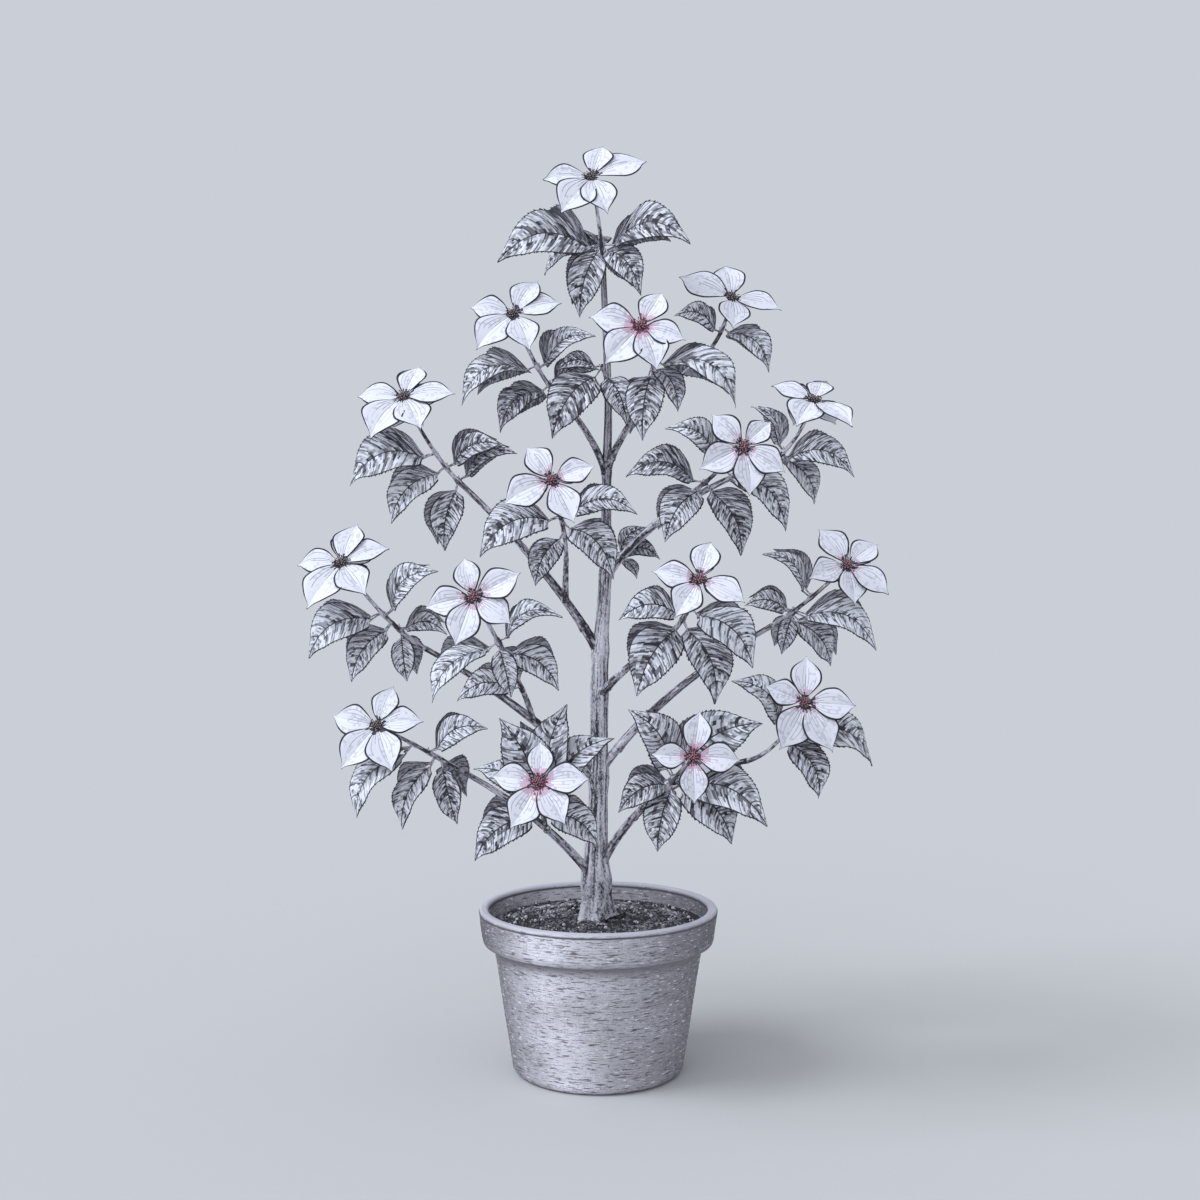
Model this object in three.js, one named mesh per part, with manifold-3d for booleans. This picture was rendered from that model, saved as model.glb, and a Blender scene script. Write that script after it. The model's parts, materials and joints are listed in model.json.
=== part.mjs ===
// A young flowering dogwood in bloom, standing in a round clay pot.
//
// Millimetres, +Z up. The origin is the middle of the pot's flat underside, and -Y is the plant's front.
// One tapering trunk rises from the soil. Each bough is one tapering limb that ends where its shoot
// begins. A shoot is one stem that carries leaf stalks, leaves and one bloom of large pale bracts round
// a button of tiny florets. Every front shoot has a leafy partner at the back of the crown.

import * as THREE from 'three';
import { mergeVertices } from 'three/addons/utils/BufferGeometryUtils.js';
import Module from 'manifold-3d';

const wasm = await Module();
wasm.setup();

// ---------------------------------------------------------------- pot and soil
const POT_HEIGHT = 172;
const POT_FOOT_RADIUS = 90;
const POT_SHOULDER_RADIUS = 109;
const BAND_HEIGHT = 36;
const BAND_LOW_RADIUS = 120.5;
const BAND_TOP_RADIUS = 124.5;
const POT_WALL = 10;
const POT_FLOOR = 12;
const FOOT_ROUNDING = 10;
const LIP_ROUNDING = 4;
const BAND_BEVEL = 3;
const BAND_UNDERCUT = 2;
const FLOOR_BEVEL = 6;
const SOIL_GAP = 0.42;
const POT_SIDES = 24;
const SOIL_EDGE = 155;
const SOIL_TOP = 160;
const SOIL_CROWN_RADIUS = 34;
const SOIL_SHELF_RISE = 2;

// ---------------------------------------------------------------- wood
const GAP = 0.3;
const FINEST = 0.05;
const TRUNK_SIDES = 10;
const BOUGH_SIDES = 5;
const TRUNK_GAP = 0.36;
const FORK_GAP = 0.39;
const BOUGH_STEPS = 5;
const STEM_SIDES = 4;
const STEM_STEPS = 4;
const BOUGH_TIP_RADIUS = 2.6;
const BOUGH_BEND = 0.45;
const STEM_FOOT_RADIUS = 2.3;
const STEM_TIP_RADIUS = 1.7;
const STEM_BEND = 0.4;
const ROOT_LOBES = 5;
const ROOT_LOBE_DEPTH = 0.16;
const ROOT_LOBE_REACH = 45;
const ROOT_LOBE_TURN = 0.6;

// Trunk stations from the soil up: height above the cut, sideways lean, depth lean and radius.
const TRUNK = [
  [0, 0, 0, 20.5],
  [4, 0, 0, 18.4],
  [12, -1.3, 0, 16.4],
  [20, -2.4, 0, 15],
  [34, -2.6, 0, 13.8],
  [84, -1.6, 1, 12],
  [124, 0.3, 2, 10],
  [196, 1.2, 2, 9.5],
  [282, 1.8, 0, 9],
  [304, 4.5, -1, 7.4],
  [358, 7.6, -2, 6.5],
  [404, 8.5, -3, 5.4],
  [472, 9, -1, 4.8],
  [530, 11, 1, 4.0],
  [600, 8.5, 2, 3.7],
  [676, 5, 1, 3.0],
];

// ---------------------------------------------------------------- leaves and bracts
const LEAF_THICKNESS = 1.8;
const LEAF_HALF_WIDTH = 0.29;
const STALK_SHARE = 0.14;
const SHORTEST_STALK = 7;
const LEAF_ARCH = 0.13;
const LEAF_BOW = 0.17;
const LEAF_FOLD = 0.12;
const LEAF_LEAN = 13;
const PARTNER_LEAN = 30;
const LEAN_KEPT = 35;
const LEAF_TURN_OUT = 0.0018;
const LEAF_ROLL = 15;
const WIDTH_SPREAD = 0.1;
const ARCH_SPREAD = 0.3;
const LEAN_SPREAD = 6;
const LEAF_FACE_OUT = 0.78;
const LEAF_FACE_UP = 0.6;
const BLOOM_TURN_OUT = 0.0008;
const STALK_RADIUS = 1.1;
const LEAF_STATIONS = [[0.14, 0.66], [0.4, 1], [0.76, 0.6]];
const BRACT_THICKNESS = 1.4;
const BRACT_HALF_WIDTH = 0.36;
const BRACT_CUP = 0.09;
const BRACT_FOLD = 0.12;
const BRACT_ROOT = 3.5;
const BRACT_STATIONS = [[0.38, 0.82], [0.68, 0.96]];
const BUTTON_RADIUS = 5.5;
const BUTTON_HEIGHT = 5.5;
const BUTTON_SIDES = 6;
const BUTTON_FOOT_RADIUS = 3.3;
const BUTTON_DEPTH = 2;
const BUTTON_TURN = 0.4;
const CLEARANCE = 2.4;
const WIDEST_LIMB = 12;
const SWINGS = [0, 8, -8, 16, -16, 24, -24, 32, -32, 42, -42];
const PARTNER_SHARE = 0.8;
const PARTNER_TURN = 5;
const REAR_LIFT = 10;
const REAR_BRACT_SHARE = 0.82;
const SEED = 72;

// ---------------------------------------------------------------- the shoots
// Each row: parent limb and where on it the bough starts (height on the trunk, share of a bough),
// the bough's upward bow and base radius, the foot of the shoot, the bloom and how far it faces up,
// its bracts [turn, length], and its leaves [share of the stem below the bloom, bearing, reach].
// Bearings turn from +X towards +Z. "partners" gives each leaf a second one on the far side.
const SHOOTS = {
  crest: {
    parent: 'trunk', foot: [5, 1, 838], bloom: [-7, 0, 929], tilt: 37, partners: true,
    bracts: [[75, 49], [22, 62], [287, 58], [241, 64], [185, 50]],
    leaves: [[0.74, 192, 108], [0.72, 207, 66], [0.68, 255, 84], [0.72, 305, 70], [0.74, 357, 90]],
  },
  top_left: {
    parent: 'trunk', at: 622, bow: 12, girth: 4.0, foot: [-42, -22, 703], bloom: [-85, -40, 783],
    tilt: 33, partners: true,
    bracts: [[64, 50], [16, 50], [292, 52], [233, 58], [168, 46]],
    leaves: [[0.56, 210, 86], [0.84, 226, 70], [0.84, 16, 54], [0.6, 28, 66]],
  },
  top_front: {
    parent: 'trunk', at: 629, bow: 8, girth: 4.2, foot: [49, -62, 695], bloom: [41, -120, 760],
    tilt: 29,
    bracts: [[169, 51], [61, 46], [339, 46], [286, 53], [232, 58]],
    leaves: [[0.44, 262, 76], [0.4, 295, 56], [0.36, 328, 94]],
  },
  top_right: {
    parent: 'top_front', at: 0.73, bow: 6, girth: 3.0, foot: [113, 14, 751], bloom: [140, 20, 808],
    tilt: 44, partners: true,
    bracts: [[149, 62], [91, 53], [337, 54], [264, 52]],
    leaves: [[0.5, 163, 52], [0.42, 313, 68]],
  },
  high_left: {
    parent: 'trunk', at: 437, bow: 17, girth: 5.2, foot: [-139, -40, 612], bloom: [-196, -45, 699],
    tilt: 44,
    bracts: [[80, 48], [2, 54], [299, 58], [250, 65], [177, 49]],
    leaves: [[0.58, 202, 90], [0.74, 228, 78], [0.76, 20, 62], [0.96, 260, 72], [0.96, 24, 66]],
  },
  high_right: {
    parent: 'trunk', at: 515, bow: 33, girth: 4.4, foot: [170, -35, 632], bloom: [218, -40, 696],
    tilt: 55,
    bracts: [[144, 47], [64, 43], [299, 57], [239, 59]],
    leaves: [[0.8, 344, 78], [0.7, 303, 62], [0.68, 127, 56]],
  },
  high_front_left: {
    parent: 'high_left', at: 0.31, bow: 6, girth: 3.5, foot: [-32, -60, 535], bloom: [-43, -160, 611],
    tilt: 24,
    bracts: [[126, 43], [20, 43], [296, 50], [210, 52]],
    leaves: [[0.36, 208, 86], [0.56, 243, 60], [0.42, 311, 76], [0.36, 0, 74]],
  },
  high_front_right: {
    parent: 'high_right', at: 0.45, bow: 5, girth: 3.2, foot: [94, -70, 603], bloom: [137, -150, 643],
    tilt: 15,
    bracts: [[133, 43], [41, 38], [327, 47], [275, 49], [208, 49]],
    leaves: [[0.36, 147, 66], [0.7, 177, 78], [0.72, 236, 70], [0.68, 295, 80], [0.36, 314, 86]],
  },
  mid_left: {
    parent: 'trunk', at: 302, bow: 19, girth: 5.6, foot: [-175, -45, 445], bloom: [-257, -60, 532],
    tilt: 42,
    bracts: [[85, 52], [23, 50], [311, 55], [250, 64], [184, 47]],
    leaves: [[0.48, 212, 84], [0.6, 237, 70], [0.7, 278, 52], [0.52, 40, 72], [0.68, 354, 50]],
  },
  mid_front_left: {
    parent: 'mid_left', at: 0.44, bow: 4, girth: 3.2, foot: [-75, -80, 406], bloom: [-114, -200, 503],
    tilt: 20,
    bracts: [[106, 40], [29, 49], [324, 45], [254, 50], [194, 46]],
    leaves: [[0.36, 21, 66], [0.42, 324, 68], [0.36, 284, 54], [0.36, 223, 82], [0.95, 192, 64]],
  },
  mid_front_right: {
    parent: 'trunk', at: 393, bow: 6, girth: 4.6, foot: [64, -110, 458], bloom: [92, -210, 519],
    tilt: 33,
    bracts: [[169, 44], [71, 44], [328, 48], [239, 47]],
    leaves: [[0.46, 185, 64], [0.54, 238, 84], [0.54, 290, 84], [0.36, 316, 80]],
  },
  mid_right: {
    parent: 'trunk', at: 312, bow: 26, girth: 5.0, foot: [176, -45, 468], bloom: [249, -65, 530],
    tilt: 33,
    bracts: [[118, 48], [33, 45], [316, 51], [268, 47], [200, 46]],
    leaves: [[0.46, 138, 66], [0.7, 173, 50], [0.7, 253, 44], [0.74, 308, 68], [0.7, 335, 88]],
  },
  low_left: {
    parent: 'trunk', at: 198, bow: 19, girth: 4.9, foot: [-135, -70, 323], bloom: [-218, -90, 372],
    tilt: 32, partners: true,
    bracts: [[77, 45], [7, 47], [296, 55], [239, 56], [170, 49]],
    leaves: [[0.36, 233, 90], [0.62, 246, 76], [0.68, 285, 66], [0.54, 23, 64]],
  },
  low_front_left: {
    parent: 'low_left', at: 0.44, bow: 3, girth: 3.4, foot: [-51, -80, 268], bloom: [-55, -200, 332],
    tilt: 26,
    bracts: [[89, 40], [4, 48], [303, 48], [242, 50], [174, 44]],
    leaves: [
      [0.34, 114, 98], [0.34, 77, 102], [0.34, 151, 76],
      [0.34, 45, 96], [0.34, 328, 62], [0.34, 216, 78],
    ],
  },
  low_front_right: {
    parent: 'low_right', at: 0.38, bow: 3, girth: 3.4, foot: [50, -80, 292], bloom: [88, -190, 355],
    tilt: 8,
    bracts: [[80, 43], [354, 45], [271, 44], [177, 39]],
    leaves: [
      [0.34, 122, 82], [0.34, 209, 60], [0.34, 257, 68],
      [0.34, 313, 80], [0.34, 336, 94], [0.34, 34, 100],
    ],
  },
  low_right: {
    parent: 'trunk', at: 200, bow: 56, girth: 5.0, foot: [148, -90, 337], bloom: [200, -120, 398],
    tilt: 24, partners: true,
    bracts: [[81, 48], [355, 52], [293, 56], [237, 56], [156, 42]],
    leaves: [[0.36, 136, 74], [0.38, 298, 70], [0.36, 338, 96]],
  },
};

// Sprigs are short leafy side shoots that carry no bloom.
const SPRIGS = {
  sprig_upper: {
    foot: [8.3, -4.6, 722], tip: [4, -42, 731],
    leaves: [[0.06, 187, 46], [0.12, 236, 90], [0.3, 293, 62]],
  },
  sprig_middle: {
    foot: [12, 6, 528], tip: [22, 25, 541],
    leaves: [[0.3, 43, 46], [0.05, 352, 44], [0.15, 310, 32]],
  },
};

// Rear shoots stand behind their front partners as seen by an eye in front of the plant, so they fill
// the crown's back and leave its front gaps open. Where the front bough starts on the trunk, the rear one
// forks from it, and otherwise it starts on the front parent's own rear partner, or on that parent where
// it has none: [front shoot, rear parent, depth of its foot, depth of its bloom].
const EYE_DISTANCE = 1664;
const EYE_HEIGHT = 555;
const REAR_FORK = 0.14;
const REAR_STEP = 0.1;
const REAR_GIRTH_SHARE = 0.85;
const REAR_SHOOTS = {
  top_back: ['top_front', 'top_front', 60, 112],
  high_rear_left: ['high_left', 'high_left', 45, 75],
  high_rear_right: ['high_right', 'high_right', 45, 70],
  mid_back_right: ['mid_front_right', 'mid_front_right', 100, 196],
  mid_rear_left: ['mid_left', 'mid_left', 50, 90],
  mid_rear_right: ['mid_right', 'mid_right', 50, 95],
  high_back_left: ['high_front_left', 'high_rear_left', 70, 150],
  high_back_right: ['high_front_right', 'high_rear_right', 75, 148],
  mid_back_left: ['mid_front_left', 'mid_rear_left', 85, 190],
  low_back_left: ['low_front_left', 'low_left', 80, 186],
  low_back_right: ['low_front_right', 'low_right', 80, 182],
};

// ---------------------------------------------------------------- small helpers
const vec = (a) => new THREE.Vector3(a[0], a[1], a[2]);
const along = (a, b, t) => a.clone().lerp(b, t);
const rad = THREE.MathUtils.degToRad;
const UPWARD = new THREE.Vector3(0, 0, 1);

// Small seeded random source, so that the plant grows the same way every time.
function seeded(seed) {
  let state = seed >>> 0;
  return () => {
    state = (state + 0x6d2b79f5) >>> 0;
    let t = state;
    t = Math.imul(t ^ (t >>> 15), t | 1);
    t ^= t + Math.imul(t ^ (t >>> 7), t | 61);
    return ((t ^ (t >>> 14)) >>> 0) / 4294967296;
  };
}

const random = seeded(SEED);
const spread = (amount) => (random() * 2 - 1) * amount;

function quadratic(start, bend, end, steps) {
  const curve = new THREE.QuadraticBezierCurve3(start, bend, end);
  return curve.getPoints(steps);
}

function geometryOf(points, faces) {
  const geometry = new THREE.BufferGeometry();
  const numbers = points.flatMap((p) => p.toArray());
  geometry.setAttribute('position', new THREE.Float32BufferAttribute(numbers, 3));
  geometry.setIndex(faces.flat());
  return geometry;
}

function volumeOf(points, faces) {
  return faces.reduce((sum, [a, b, c]) => sum + points[a].dot(points[b].clone().cross(points[c])) / 6, 0);
}

// A closed body through rings of equal count, with a point or a flat cap at either end.
function skin(rings) {
  const points = [];
  const starts = rings.map((ring) => {
    const start = points.length;
    points.push(...ring);
    return start;
  });
  const faces = [];
  for (let i = 0; i + 1 < rings.length; i++) {
    const low = rings[i].length;
    const high = rings[i + 1].length;
    const n = Math.max(low, high);
    for (let j = 0; j < n; j++) {
      const k = (j + 1) % n;
      const a = starts[i] + (low > 1 ? j : 0);
      const b = starts[i] + (low > 1 ? k : 0);
      const c = starts[i + 1] + (high > 1 ? j : 0);
      const d = starts[i + 1] + (high > 1 ? k : 0);
      if (a !== b) faces.push([a, b, d]);
      if (c !== d) faces.push([a, d, c]);
    }
  }
  for (const end of [0, rings.length - 1]) {
    const n = rings[end].length;
    for (let j = 1; j + 1 < n; j++) {
      const face = [starts[end], starts[end] + j, starts[end] + j + 1];
      faces.push(end === 0 ? [face[0], face[2], face[1]] : face);
    }
  }
  const outward = volumeOf(points, faces) > 0;
  return geometryOf(points, outward ? faces : faces.map(([a, b, c]) => [a, c, b]));
}

function toSolid(geometry) {
  const plain = geometry.clone();
  plain.deleteAttribute('normal');
  plain.deleteAttribute('uv');
  const merged = mergeVertices(plain);
  return new wasm.Manifold(new wasm.Mesh({
    numProp: 3,
    vertProperties: new Float32Array(merged.attributes.position.array),
    triVerts: new Uint32Array(merged.index.array),
  }));
}

// Joined solids drop edges shorter than the finest size worth keeping.
function fromSolid(solid) {
  const mesh = solid.simplify(FINEST).getMesh();
  const geometry = new THREE.BufferGeometry();
  geometry.setAttribute('position', new THREE.Float32BufferAttribute(Array.from(mesh.vertProperties), 3));
  geometry.setIndex(Array.from(mesh.triVerts));
  return geometry;
}

// ---------------------------------------------------------------- limbs
// A tapering tube through a path of points. The frame is carried along so that it never twists.
function limb(path, radii, sides, grow = 0, shape = () => 1) {
  let side = null;
  const rings = path.map((point, i) => {
    const ahead = path[Math.min(i + 1, path.length - 1)];
    const behind = path[Math.max(i - 1, 0)];
    const axis = ahead.clone().sub(behind).normalize();
    const start = side || (Math.abs(axis.z) > 0.9 ? new THREE.Vector3(1, 0, 0) : new THREE.Vector3(0, 0, 1));
    side = start.clone().addScaledVector(axis, -start.dot(axis)).normalize();
    const across = axis.clone().cross(side);
    return Array.from({ length: sides }, (_, j) => {
      const turn = (2 * Math.PI * j) / sides;
      const r = radii[i] * shape(turn, i) + grow;
      return point.clone()
        .addScaledVector(side, r * Math.cos(turn))
        .addScaledVector(across, r * Math.sin(turn));
    });
  });
  return skin(rings);
}

function taper(from, to, steps) {
  return Array.from({ length: steps + 1 }, (_, i) => THREE.MathUtils.lerp(from, to, i / steps));
}

// Upward direction square to a chord, for a bough's bow.
function upFrom(start, end) {
  const chord = end.clone().sub(start).normalize();
  return new THREE.Vector3(0, 0, 1).addScaledVector(chord, -chord.z).normalize();
}

// A point on a path at a share of its steps.
function pointAt(path, share) {
  const place = THREE.MathUtils.clamp(share, 0, 1) * (path.length - 1);
  const i = Math.min(Math.floor(place), path.length - 2);
  return along(path[i], path[i + 1], place - i);
}

function trunkPath() {
  return TRUNK.map(([height, x, y]) => new THREE.Vector3(x, y, SOIL_TOP + GAP + height));
}

function trunkRadii() {
  return TRUNK.map((station) => station[3]);
}

// Root flare: shallow lobes that fade out up the trunk.
function rootLobes(turn, station) {
  const fade = Math.max(0, 1 - TRUNK[station][0] / ROOT_LOBE_REACH);
  return 1 + ROOT_LOBE_DEPTH * fade * Math.cos(ROOT_LOBES * turn + ROOT_LOBE_TURN);
}

function onTrunk(height) {
  const path = trunkPath();
  const i = Math.max(0, path.findIndex((p) => p.z > height) - 1);
  return along(path[i], path[i + 1], (height - path[i].z) / (path[i + 1].z - path[i].z));
}

// ---------------------------------------------------------------- blades
// A leaf or bract as rows of [left edge, rib, right edge], from its base to its tip.
// It arches off its chord towards its face, and bows upwards by its weight the more it lies level.
function bladeRows({ base, ahead, face, length, halfWidth, arch, bow, fold, stations }) {
  const across = ahead.clone().cross(face).normalize();
  const rise = UPWARD.clone().addScaledVector(ahead, -ahead.z);
  const place = (s, e, width) => base.clone()
    .addScaledVector(ahead, length * s)
    .addScaledVector(face, 4 * s * (1 - s) * arch * length + Math.abs(e) * width * fold)
    .addScaledVector(rise, 4 * s * (1 - s) * bow * length)
    .addScaledVector(across, e * width);
  const rows = stations.map(([s, w]) => [-1, 0, 1].map((e) => place(s, e, w * halfWidth * length)));
  return { base, tip: place(1, 0, 0), rows, face, across };
}

// The solid of a blade: thin at its edges, thick along its rib. A leaf grows on from its stalk, whose
// root lies inside the stem.
function bladeSolid(blade, thickness, root = null) {
  const { base, tip, face, across } = blade;
  const lozenge = (centre, r) => [
    centre.clone().addScaledVector(across, -r),
    centre.clone().addScaledVector(face, r),
    centre.clone().addScaledVector(across, r),
    centre.clone().addScaledVector(face, -r),
  ];
  const rings = blade.rows.map(([left, rib, right]) => [
    left,
    rib.clone().addScaledVector(face, thickness / 2),
    right,
    rib.clone().addScaledVector(face, -thickness / 2),
  ]);
  const start = root ? [lozenge(root, STALK_RADIUS), lozenge(base, STALK_RADIUS)] : [[base]];
  return skin([...start, ...rings, [tip]]);
}

// The lines and faces of a blade that the clearance test reads.
function bladeNet(blade) {
  const { base, tip, rows } = blade;
  const lines = [];
  const faces = [];
  const first = rows[0];
  const last = rows[rows.length - 1];
  for (const k of [0, 1, 2]) {
    lines.push([base, first[k]], [last[k], tip]);
  }
  for (const row of rows) lines.push([row[0], row[1]], [row[1], row[2]]);
  for (let i = 0; i + 1 < rows.length; i++) {
    const [low, high] = [rows[i], rows[i + 1]];
    for (const k of [0, 1, 2]) lines.push([low[k], high[k]]);
    for (const k of [0, 1]) {
      faces.push([low[k], low[k + 1], high[k + 1]], [low[k], high[k + 1], high[k]]);
    }
  }
  for (const k of [0, 1]) faces.push([base, first[k], first[k + 1]], [tip, last[k], last[k + 1]]);
  return { lines, faces, ...ballOf(lines.flat()) };
}

function ballOf(points) {
  const centre = points.reduce((sum, p) => sum.add(p), new THREE.Vector3()).divideScalar(points.length);
  return { centre, size: Math.max(...points.map((p) => p.distanceTo(centre))) };
}

function tubeNet(path, radii) {
  const lines = path.slice(1).map((point, i) => [path[i], point]);
  return { lines, faces: [], radii: radii.slice(1).map((r, i) => Math.max(r, radii[i])), ...ballOf(path) };
}

// ---------------------------------------------------------------- clearance
function lineGap([a, b], [c, d]) {
  const u = b.clone().sub(a);
  const v = d.clone().sub(c);
  const w = a.clone().sub(c);
  const uu = u.dot(u);
  const vv = v.dot(v);
  const uv = u.dot(v);
  const det = uu * vv - uv * uv;
  const clamp = (x) => Math.min(1, Math.max(0, x));
  let s = det > 1e-9 ? clamp((uv * v.dot(w) - vv * u.dot(w)) / det) : 0;
  const t = clamp((uv * s + v.dot(w)) / vv);
  s = clamp((uv * t - u.dot(w)) / uu);
  return w.addScaledVector(u, s).addScaledVector(v, -t).length();
}

const lineRay = new THREE.Ray();
const hitPoint = new THREE.Vector3();

function lineCuts([a, b], [p, q, r]) {
  lineRay.origin.copy(a);
  lineRay.direction.copy(b).sub(a).normalize();
  const hit = lineRay.intersectTriangle(p, q, r, false, hitPoint);
  return hit !== null && hitPoint.distanceTo(a) <= a.distanceTo(b);
}

function tooClose(one, other) {
  if (one.centre.distanceTo(other.centre) > one.size + other.size + CLEARANCE + WIDEST_LIMB) return false;
  const near = one.lines.some((line) => other.lines.some((wood, i) => (
    lineGap(line, wood) < CLEARANCE + (other.radii ? other.radii[i] : 0))));
  return near
    || one.faces.some((face) => other.lines.some((line) => lineCuts(line, face)))
    || other.faces.some((face) => one.lines.some((line) => lineCuts(line, face)));
}

// ---------------------------------------------------------------- growing the wood
const limbs = {};
const shoots = {};

function growBough(name, row) {
  const start = row.parent === 'trunk' ? onTrunk(row.at) : pointAt(limbs[row.parent].path, row.at);
  const foot = vec(row.foot);
  const bend = along(start, foot, BOUGH_BEND).addScaledVector(upFrom(start, foot), row.bow);
  limbs[name] = {
    path: quadratic(start, bend, foot, BOUGH_STEPS),
    radii: taper(row.girth, BOUGH_TIP_RADIUS, BOUGH_STEPS),
    parent: row.parent,
  };
}

function tipDirection(path) {
  return path[path.length - 1].clone().sub(path[path.length - 2]).normalize();
}

function growStem(foot, heading, end) {
  const start = foot.clone().addScaledVector(heading, GAP);
  const bend = start.clone().addScaledVector(heading, STEM_BEND * start.distanceTo(end));
  const path = quadratic(start, bend, end, STEM_STEPS);
  return { path, radii: taper(STEM_FOOT_RADIUS, STEM_TIP_RADIUS, STEM_STEPS) };
}

limbs.trunk = { path: trunkPath(), radii: trunkRadii(), parent: null };

// The same direction of sight, carried on to another depth.
function behind(point, depth) {
  const k = (EYE_DISTANCE + depth) / (EYE_DISTANCE + point.y);
  return new THREE.Vector3(point.x * k, depth, EYE_HEIGHT + (point.z - EYE_HEIGHT) * k);
}

// A shoot whose row names no place on its parent grows from the very tip of it.
function growShoot(name, row, facing) {
  const hasBough = row.at !== undefined;
  if (hasBough) growBough(name, row);
  const carrier = limbs[hasBough ? name : row.parent];
  const stem = growStem(vec(row.foot), tipDirection(carrier.path), vec(row.bloom));
  shoots[name] = { name, row, facing, stem };
}

for (const [name, row] of Object.entries(SPRIGS)) {
  const foot = vec(row.foot);
  const stem = growStem(foot, vec(row.tip).sub(foot).normalize(), vec(row.tip));
  shoots[name] = { name, row, facing: 1, stem };
}

const ordered = Object.entries(SHOOTS).sort(([, a], [, b]) => (a.parent in SHOOTS) - (b.parent in SHOOTS));
for (const [name, row] of ordered) growShoot(name, row, 1);

// Where a rear bough starts on its parent, so that it keeps to its front partner's line of sight.
function rearStart(front, parent) {
  if (front === parent) return REAR_FORK;
  const share = SHOOTS[front].at;
  return parent in SHOOTS ? share - REAR_STEP : (share - REAR_FORK) / (1 - REAR_FORK);
}

for (const [name, [front, parent, footDepth, bloomDepth]] of Object.entries(REAR_SHOOTS)) {
  const row = SHOOTS[front];
  const place = (point, depth) => behind(vec(point), depth).toArray();
  growShoot(name, {
    ...row,
    parent,
    at: rearStart(front, parent),
    bow: front === parent ? row.bow * (1 - REAR_FORK) ** 2 : row.bow,
    foot: place(row.foot, footDepth),
    bloom: place(row.bloom, bloomDepth),
    girth: row.girth * REAR_GIRTH_SHARE,
    bracts: row.bracts.map(([turn, length]) => [turn, length * REAR_BRACT_SHARE]),
  }, -1);
}

// ---------------------------------------------------------------- growing blooms and leaves
// A bloom looks to its side of the crown, up by its tilt and outwards with its distance from the trunk.
function bloomFrame({ row, facing, stem }) {
  const t = rad(row.tilt);
  const turn = facing * BLOOM_TURN_OUT * stem.path[STEM_STEPS].x;
  const turned = (x, y, z) => new THREE.Vector3(x, y, z).applyAxisAngle(UPWARD, turn);
  return {
    out: turned(0, -facing * Math.cos(t), Math.sin(t)),
    up: turned(0, facing * Math.sin(t), Math.cos(t)),
    right: turned(1, 0, 0),
  };
}

function growBracts(shoot) {
  const { row, stem } = shoot;
  if (!row.bracts) return [];
  const { out, up, right } = bloomFrame(shoot);
  const toward = (turn) => right.clone()
    .multiplyScalar(Math.cos(rad(turn)))
    .addScaledVector(up, Math.sin(rad(turn)));
  return row.bracts.map(([turn, length]) => bladeRows({
    base: stem.path[STEM_STEPS].clone().addScaledVector(toward(turn), BRACT_ROOT),
    ahead: toward(turn),
    face: out,
    length: length - BRACT_ROOT,
    halfWidth: BRACT_HALF_WIDTH,
    arch: BRACT_CUP,
    bow: 0,
    fold: BRACT_FOLD,
    stations: BRACT_STATIONS,
  }));
}

// A leaf's upper face looks up, to the shoot's side of the crown and a little away from the trunk. Its
// reach is the length seen from the front, which it keeps until it leans too far.
function leafBlade(root, bearing, reach, lean, facing, habit) {
  const b = rad(bearing);
  const l = rad(lean);
  const level = Math.cos(l);
  const ahead = new THREE.Vector3(Math.cos(b) * level, -facing * Math.sin(l), Math.sin(b) * level);
  const sky = new THREE.Vector3(LEAF_TURN_OUT * root.x, -facing * LEAF_FACE_OUT, LEAF_FACE_UP);
  const face = sky.addScaledVector(ahead, -sky.dot(ahead)).normalize().applyAxisAngle(ahead, rad(habit.roll));
  const full = reach / Math.cos(rad(Math.min(Math.abs(lean), LEAN_KEPT)));
  const stalk = Math.max(full * STALK_SHARE, SHORTEST_STALK);
  const base = root.clone().addScaledVector(ahead, stalk);
  return bladeRows({
    base,
    ahead,
    face,
    length: full - stalk,
    halfWidth: LEAF_HALF_WIDTH * habit.width,
    arch: LEAF_ARCH * habit.arch,
    bow: LEAF_BOW,
    fold: LEAF_FOLD,
    stations: LEAF_STATIONS,
  });
}

// Tries each swing in turn until the leaf is clear of wood, blooms and other leaves.
function growLeaf(root, bearing, reach, baseLean, facing, taken) {
  const habit = { roll: spread(LEAF_ROLL), width: 1 + spread(WIDTH_SPREAD), arch: 1 + spread(ARCH_SPREAD) };
  const lean = baseLean + spread(LEAN_SPREAD);
  for (const swing of SWINGS) {
    const blade = leafBlade(root, bearing, reach, lean + swing, facing, habit);
    const net = bladeNet(blade);
    if (!taken.some((other) => tooClose(net, other))) {
      taken.push(net);
      return { root, blade };
    }
  }
  return null;
}

// Leaves that face the back are held a little higher, so they hide behind those that face the front.
function growLeaves({ row, facing, stem }, taken, partners) {
  const [sense, share, lean] = partners ? [-facing, PARTNER_SHARE, PARTNER_LEAN] : [facing, 1, LEAF_LEAN];
  const leaves = row.leaves.map(([place, bearing, reach]) => {
    const lift = sense < 0 ? REAR_LIFT * Math.sign(Math.cos(rad(bearing))) : 0;
    const turned = bearing + lift + (partners ? spread(PARTNER_TURN) : 0);
    return growLeaf(pointAt(stem.path, 1 - place), turned, reach * share, lean, sense, taken);
  });
  return leaves.filter(Boolean);
}

const taken = Object.values(limbs).map(({ path, radii }) => tubeNet(path, radii));
for (const shoot of Object.values(shoots)) {
  taken.push(tubeNet(shoot.stem.path, shoot.stem.radii));
  shoot.bracts = growBracts(shoot);
  taken.push(...shoot.bracts.map(bladeNet));
}
for (const shoot of Object.values(shoots)) shoot.leaves = growLeaves(shoot, taken, false);
for (const shoot of Object.values(shoots)) {
  if (shoot.row.partners) shoot.leaves.push(...growLeaves(shoot, taken, true));
}

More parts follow.
